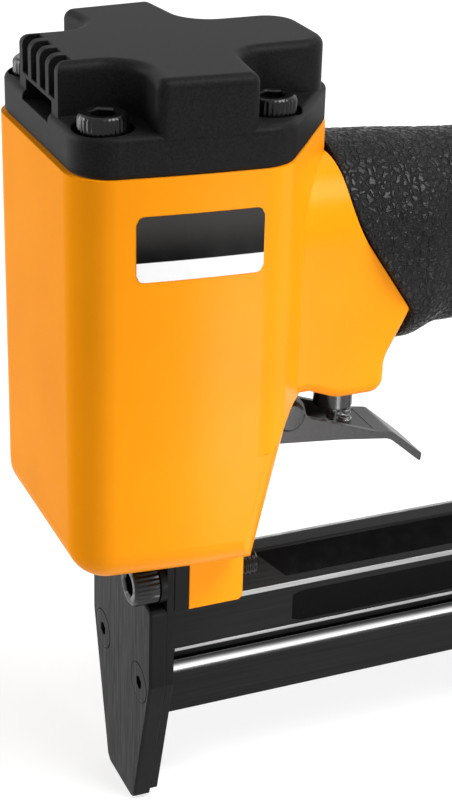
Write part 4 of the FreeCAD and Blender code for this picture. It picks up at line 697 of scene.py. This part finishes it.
# Fields and lines on the magazine, in millimetres. The field on the bevel starts on a slant
RAIL_FIELD_FRONT = 29.7
RAIL_FIELD_BACK = 150.0
RAIL_FIELD_LOW = 35.7
RAIL_FIELD_HIGH = 42.3
RAIL_FIELD_CORNER = 0.6
RAIL_FIELD_THICK = 0.08
BEVEL_FIELD_FRONT = 28.6
BEVEL_FIELD_SLANT = 4.4
BEVEL_FIELD_FOOT_SHARE = 0.17
BEVEL_FIELD_WIDTH_SHARE = 0.74
HIGH_LINE_LOW = 43.75
HIGH_LINE_HIGH = 44.85
LOW_LINE_FRONT = 5.0
LOW_LINE_HIGH = 34.95
RAIL_LINE_THICK = 0.04


def make_rail_panels():
    """Bare label fields and bright machined lines along both sides of the magazine."""
    for side, name in SIDES:
        outward = Vector((0, side, 0))
        upward = Vector((0, side * RAIL_BEVEL_RISE, RAIL_BEVEL_WIDTH)).normalized()

        def on_side(front, back, low, high, corner=0.0):
            def spot(u, v):
                inset = rounded_inset(u, back - front, corner) if corner else 0.0
                z = low + inset + (high - low - inset * 2) * v
                return Vector((front + (back - front) * u, side * RAIL_HALF, z)), outward
            return spot

        def on_bevel(u, v):
            share = BEVEL_FIELD_FOOT_SHARE + BEVEL_FIELD_WIDTH_SHARE * v
            front = BEVEL_FIELD_FRONT - BEVEL_FIELD_SLANT * v
            return Vector((front + (RAIL_FIELD_BACK - front) * u,
                           side * (RAIL_HALF - RAIL_BEVEL_WIDTH * share),
                           RAIL_SHOULDER + RAIL_BEVEL_RISE * share)), upward

        field = on_side(RAIL_FIELD_FRONT, RAIL_FIELD_BACK, RAIL_FIELD_LOW, RAIL_FIELD_HIGH,
                        RAIL_FIELD_CORNER)
        for kind, spot in (("side_", field), ("bevel_", on_bevel)):
            make_panel("rail_label_" + kind + name, spot, columns=60, rows=4, thick=RAIL_FIELD_THICK,
                       material=RAIL_LABEL)
        high_line = on_side(LEG_REAR, RAIL_END, HIGH_LINE_LOW, HIGH_LINE_HIGH)
        low_line = on_side(LOW_LINE_FRONT, RAIL_END, RAIL_SKIRT, LOW_LINE_HIGH)
        for kind, spot in (("high_", high_line), ("low_", low_line)):
            make_panel("rail_line_" + kind + name, spot, columns=60, rows=2, thick=RAIL_LINE_THICK,
                       material=BRIGHT_LINE)


# The grip's top stands up to the crown's radius. It falls along the handle over a run, and fades out
# before its end. The grain sets in behind the lip. All are in millimetres, but for the fall
GRIP_CROWN = 21.5
GRIP_CROWN_FALL = 0.075
GRIP_CROWN_RUN = 30.0
GRIP_CROWN_END = 140.0
GRIP_CROWN_FADE = 40.0
GRIP_CROWN_POWER = 3
GRAIN_ONSET = 0.8

# Leather grain, in metres and shares: cells that wander, with creases between them, over low swells
GRAIN_VOXEL = 0.00055
GRAIN_WANDER_SIZE = 0.0021
GRAIN_WANDER = 0.0006
GRAIN_CELL = 0.0019
GRAIN_ROUND_SHARE = 0.85
GRAIN_CREASE_SHARE = 0.32
GRAIN_CREASE_DEPTH = 0.00016
GRAIN_SWELL_SIZE = 0.006
GRAIN_SWELL_DEPTH = 0.0001


def even_copy(node):
    """A copy of a node's mesh with points spread evenly over its surface."""
    shell = link(bpy.data.objects.new(node + "_copy", NODES[node].data.copy()))
    even = shell.modifiers.new("even", "REMESH")
    even.mode = "VOXEL"
    even.voxel_size = GRAIN_VOXEL
    bpy.context.view_layer.update()
    graph = bpy.context.evaluated_depsgraph_get()
    data = bpy.data.meshes.new_from_object(shell.evaluated_get(graph))
    bpy.data.objects.remove(shell)
    return data


def grain_depth(place):
    """How deep the leather grain lies at a place in metres, nothing up to the end of the lip."""
    seam = GRIP_SEAM + GRIP_SEAM_SLOPE * max(0.0, GRIP_KNEE - place.z / MM)
    grained = clamp((place.x / MM - seam - GRIP_LIP) / GRAIN_ONSET)
    bent = place + noise.noise_vector(place / GRAIN_WANDER_SIZE) * GRAIN_WANDER
    around = Vector((bent.x, bent.y * GRAIN_ROUND_SHARE, bent.z * GRAIN_ROUND_SHARE))
    nearest, second = noise.voronoi(around / GRAIN_CELL)[0][:2]
    crease = 1.0 - min((second - nearest) / GRAIN_CREASE_SHARE, 1.0)
    swell = 0.5 + 0.5 * noise.noise(place / GRAIN_SWELL_SIZE)
    return (GRAIN_CREASE_DEPTH * crease + GRAIN_SWELL_DEPTH * swell) * grained


def make_grip_skin():
    """The grip with its crowned top and its leather grain, smooth along the front lip."""
    data = even_copy("grip_sleeve")
    shifts = []
    for corner in data.vertices:
        place = corner.co
        radius = math.hypot(place.y, place.z - GRIP_AXIS * MM)
        if radius <= GRIP_BORE * MM:
            shifts.append(0.0)
            continue
        upward = max((place.z - GRIP_AXIS * MM) / radius, 0.0)
        fade = clamp((GRIP_CROWN_END * MM - place.x) / (GRIP_CROWN_FADE * MM))
        crown = GRIP_CROWN - GRIP_CROWN_FALL * min(place.x / MM - GRIP_SEAM, GRIP_CROWN_RUN)
        place.z += (crown * MM - radius) * upward ** GRIP_CROWN_POWER * fade
        shifts.append(grain_depth(place))
    normals = [corner.normal.copy() for corner in data.vertices]
    for corner, normal, shift in zip(data.vertices, normals, shifts):
        corner.co = corner.co - normal * shift
    data.materials.clear()
    data.materials.append(MATERIALS["grip_rubber"])
    data.shade_smooth()
    skin = link(bpy.data.objects.new("grip_skin", data))
    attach(skin, "tool_frame")
    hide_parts("grip_sleeve")


# Stage: half the floor's width in metres, its grey and glow, and the sky as seen and as it lights
FLOOR_HALF = 6.0
FLOOR_GREY = 0.5
FLOOR_GLOW = 0.68
SKY_SEEN = 1.0
SKY_LIGHT = 0.38


def background_share(tree, seen, otherwise):
    """One strength for camera, glossy and transmission rays, another for the rays that light things."""
    path = tree.nodes.new("ShaderNodeLightPath")
    last = path.outputs["Is Camera Ray"]
    for name in ("Is Glossy Ray", "Is Transmission Ray"):
        either = tree.nodes.new("ShaderNodeMath")
        either.operation = "MAXIMUM"
        tree.links.new(last, either.inputs[0])
        tree.links.new(path.outputs[name], either.inputs[1])
        last = either.outputs[0]
    span = tree.nodes.new("ShaderNodeMapRange")
    span.inputs["To Min"].default_value = otherwise
    span.inputs["To Max"].default_value = seen
    tree.links.new(last, span.inputs["Value"])
    return span.outputs[0]


def make_floor():
    corners = [(x * FLOOR_HALF, y * FLOOR_HALF, 0) for x, y in ((-1, -1), (1, -1), (1, 1), (-1, 1))]
    data = bpy.data.meshes.new("floor")
    data.from_pydata(corners, [], [(0, 1, 2, 3)])
    floor = link(bpy.data.objects.new("floor", data))
    material = bpy.data.materials.new("floor")
    material.use_nodes = True
    tree = material.node_tree
    tree.nodes.clear()
    output = tree.nodes.new("ShaderNodeOutputMaterial")
    total = tree.nodes.new("ShaderNodeAddShader")
    diffuse = tree.nodes.new("ShaderNodeBsdfDiffuse")
    diffuse.inputs["Color"].default_value = rgba(FLOOR_GREY)
    glow = tree.nodes.new("ShaderNodeEmission")
    tree.links.new(background_share(tree, FLOOR_GLOW, 0.0), glow.inputs["Strength"])
    tree.links.new(diffuse.outputs[0], total.inputs[0])
    tree.links.new(glow.outputs[0], total.inputs[1])
    tree.links.new(total.outputs[0], output.inputs["Surface"])
    data.materials.append(material)


def make_world():
    world = bpy.data.worlds.new("studio")
    bpy.context.scene.world = world
    world.use_nodes = True
    tree = world.node_tree
    sky = tree.nodes["Background"]
    sky.inputs["Color"].default_value = (1, 1, 1, 1)
    tree.links.new(background_share(tree, SKY_SEEN, SKY_LIGHT), sky.inputs["Strength"])


def make_lamp(name, place, target, width, height, power):
    """A rectangular lamp that faces its target. Places are in metres, the power is in watts."""
    data = bpy.data.lights.new(name, "AREA")
    data.shape = "RECTANGLE"
    data.size = width
    data.size_y = height
    data.energy = power
    lamp = link(bpy.data.objects.new(name, data))
    lamp.location = place
    lamp.rotation_mode = "QUATERNION"
    lamp.rotation_quaternion = (target - place).to_track_quat("-Z", "Y")


def make_lamps():
    middle = (cad_low + cad_high) / 2
    make_lamp("overhead", place=middle + Vector((0.32, -0.4, 0.86)), target=middle,
              width=0.6, height=0.45, power=11.0)
    make_lamp("right_low", place=Vector((0.06, -0.15, 0.036)), target=Vector((0.005, -0.025, 0.09)),
              width=0.05, height=0.07, power=0.11)
    make_lamp("left_side", place=middle + Vector((-0.85, 0.55, 0.15)), target=middle,
              width=0.5, height=0.7, power=7.2)


make_camera()
make_world()
make_floor()
make_lamps()
dress_solids()
make_screws()
make_flank_labels()
make_rail_panels()
make_grip_skin()
make_springs()

bpy.context.scene.view_settings.view_transform = "Standard"
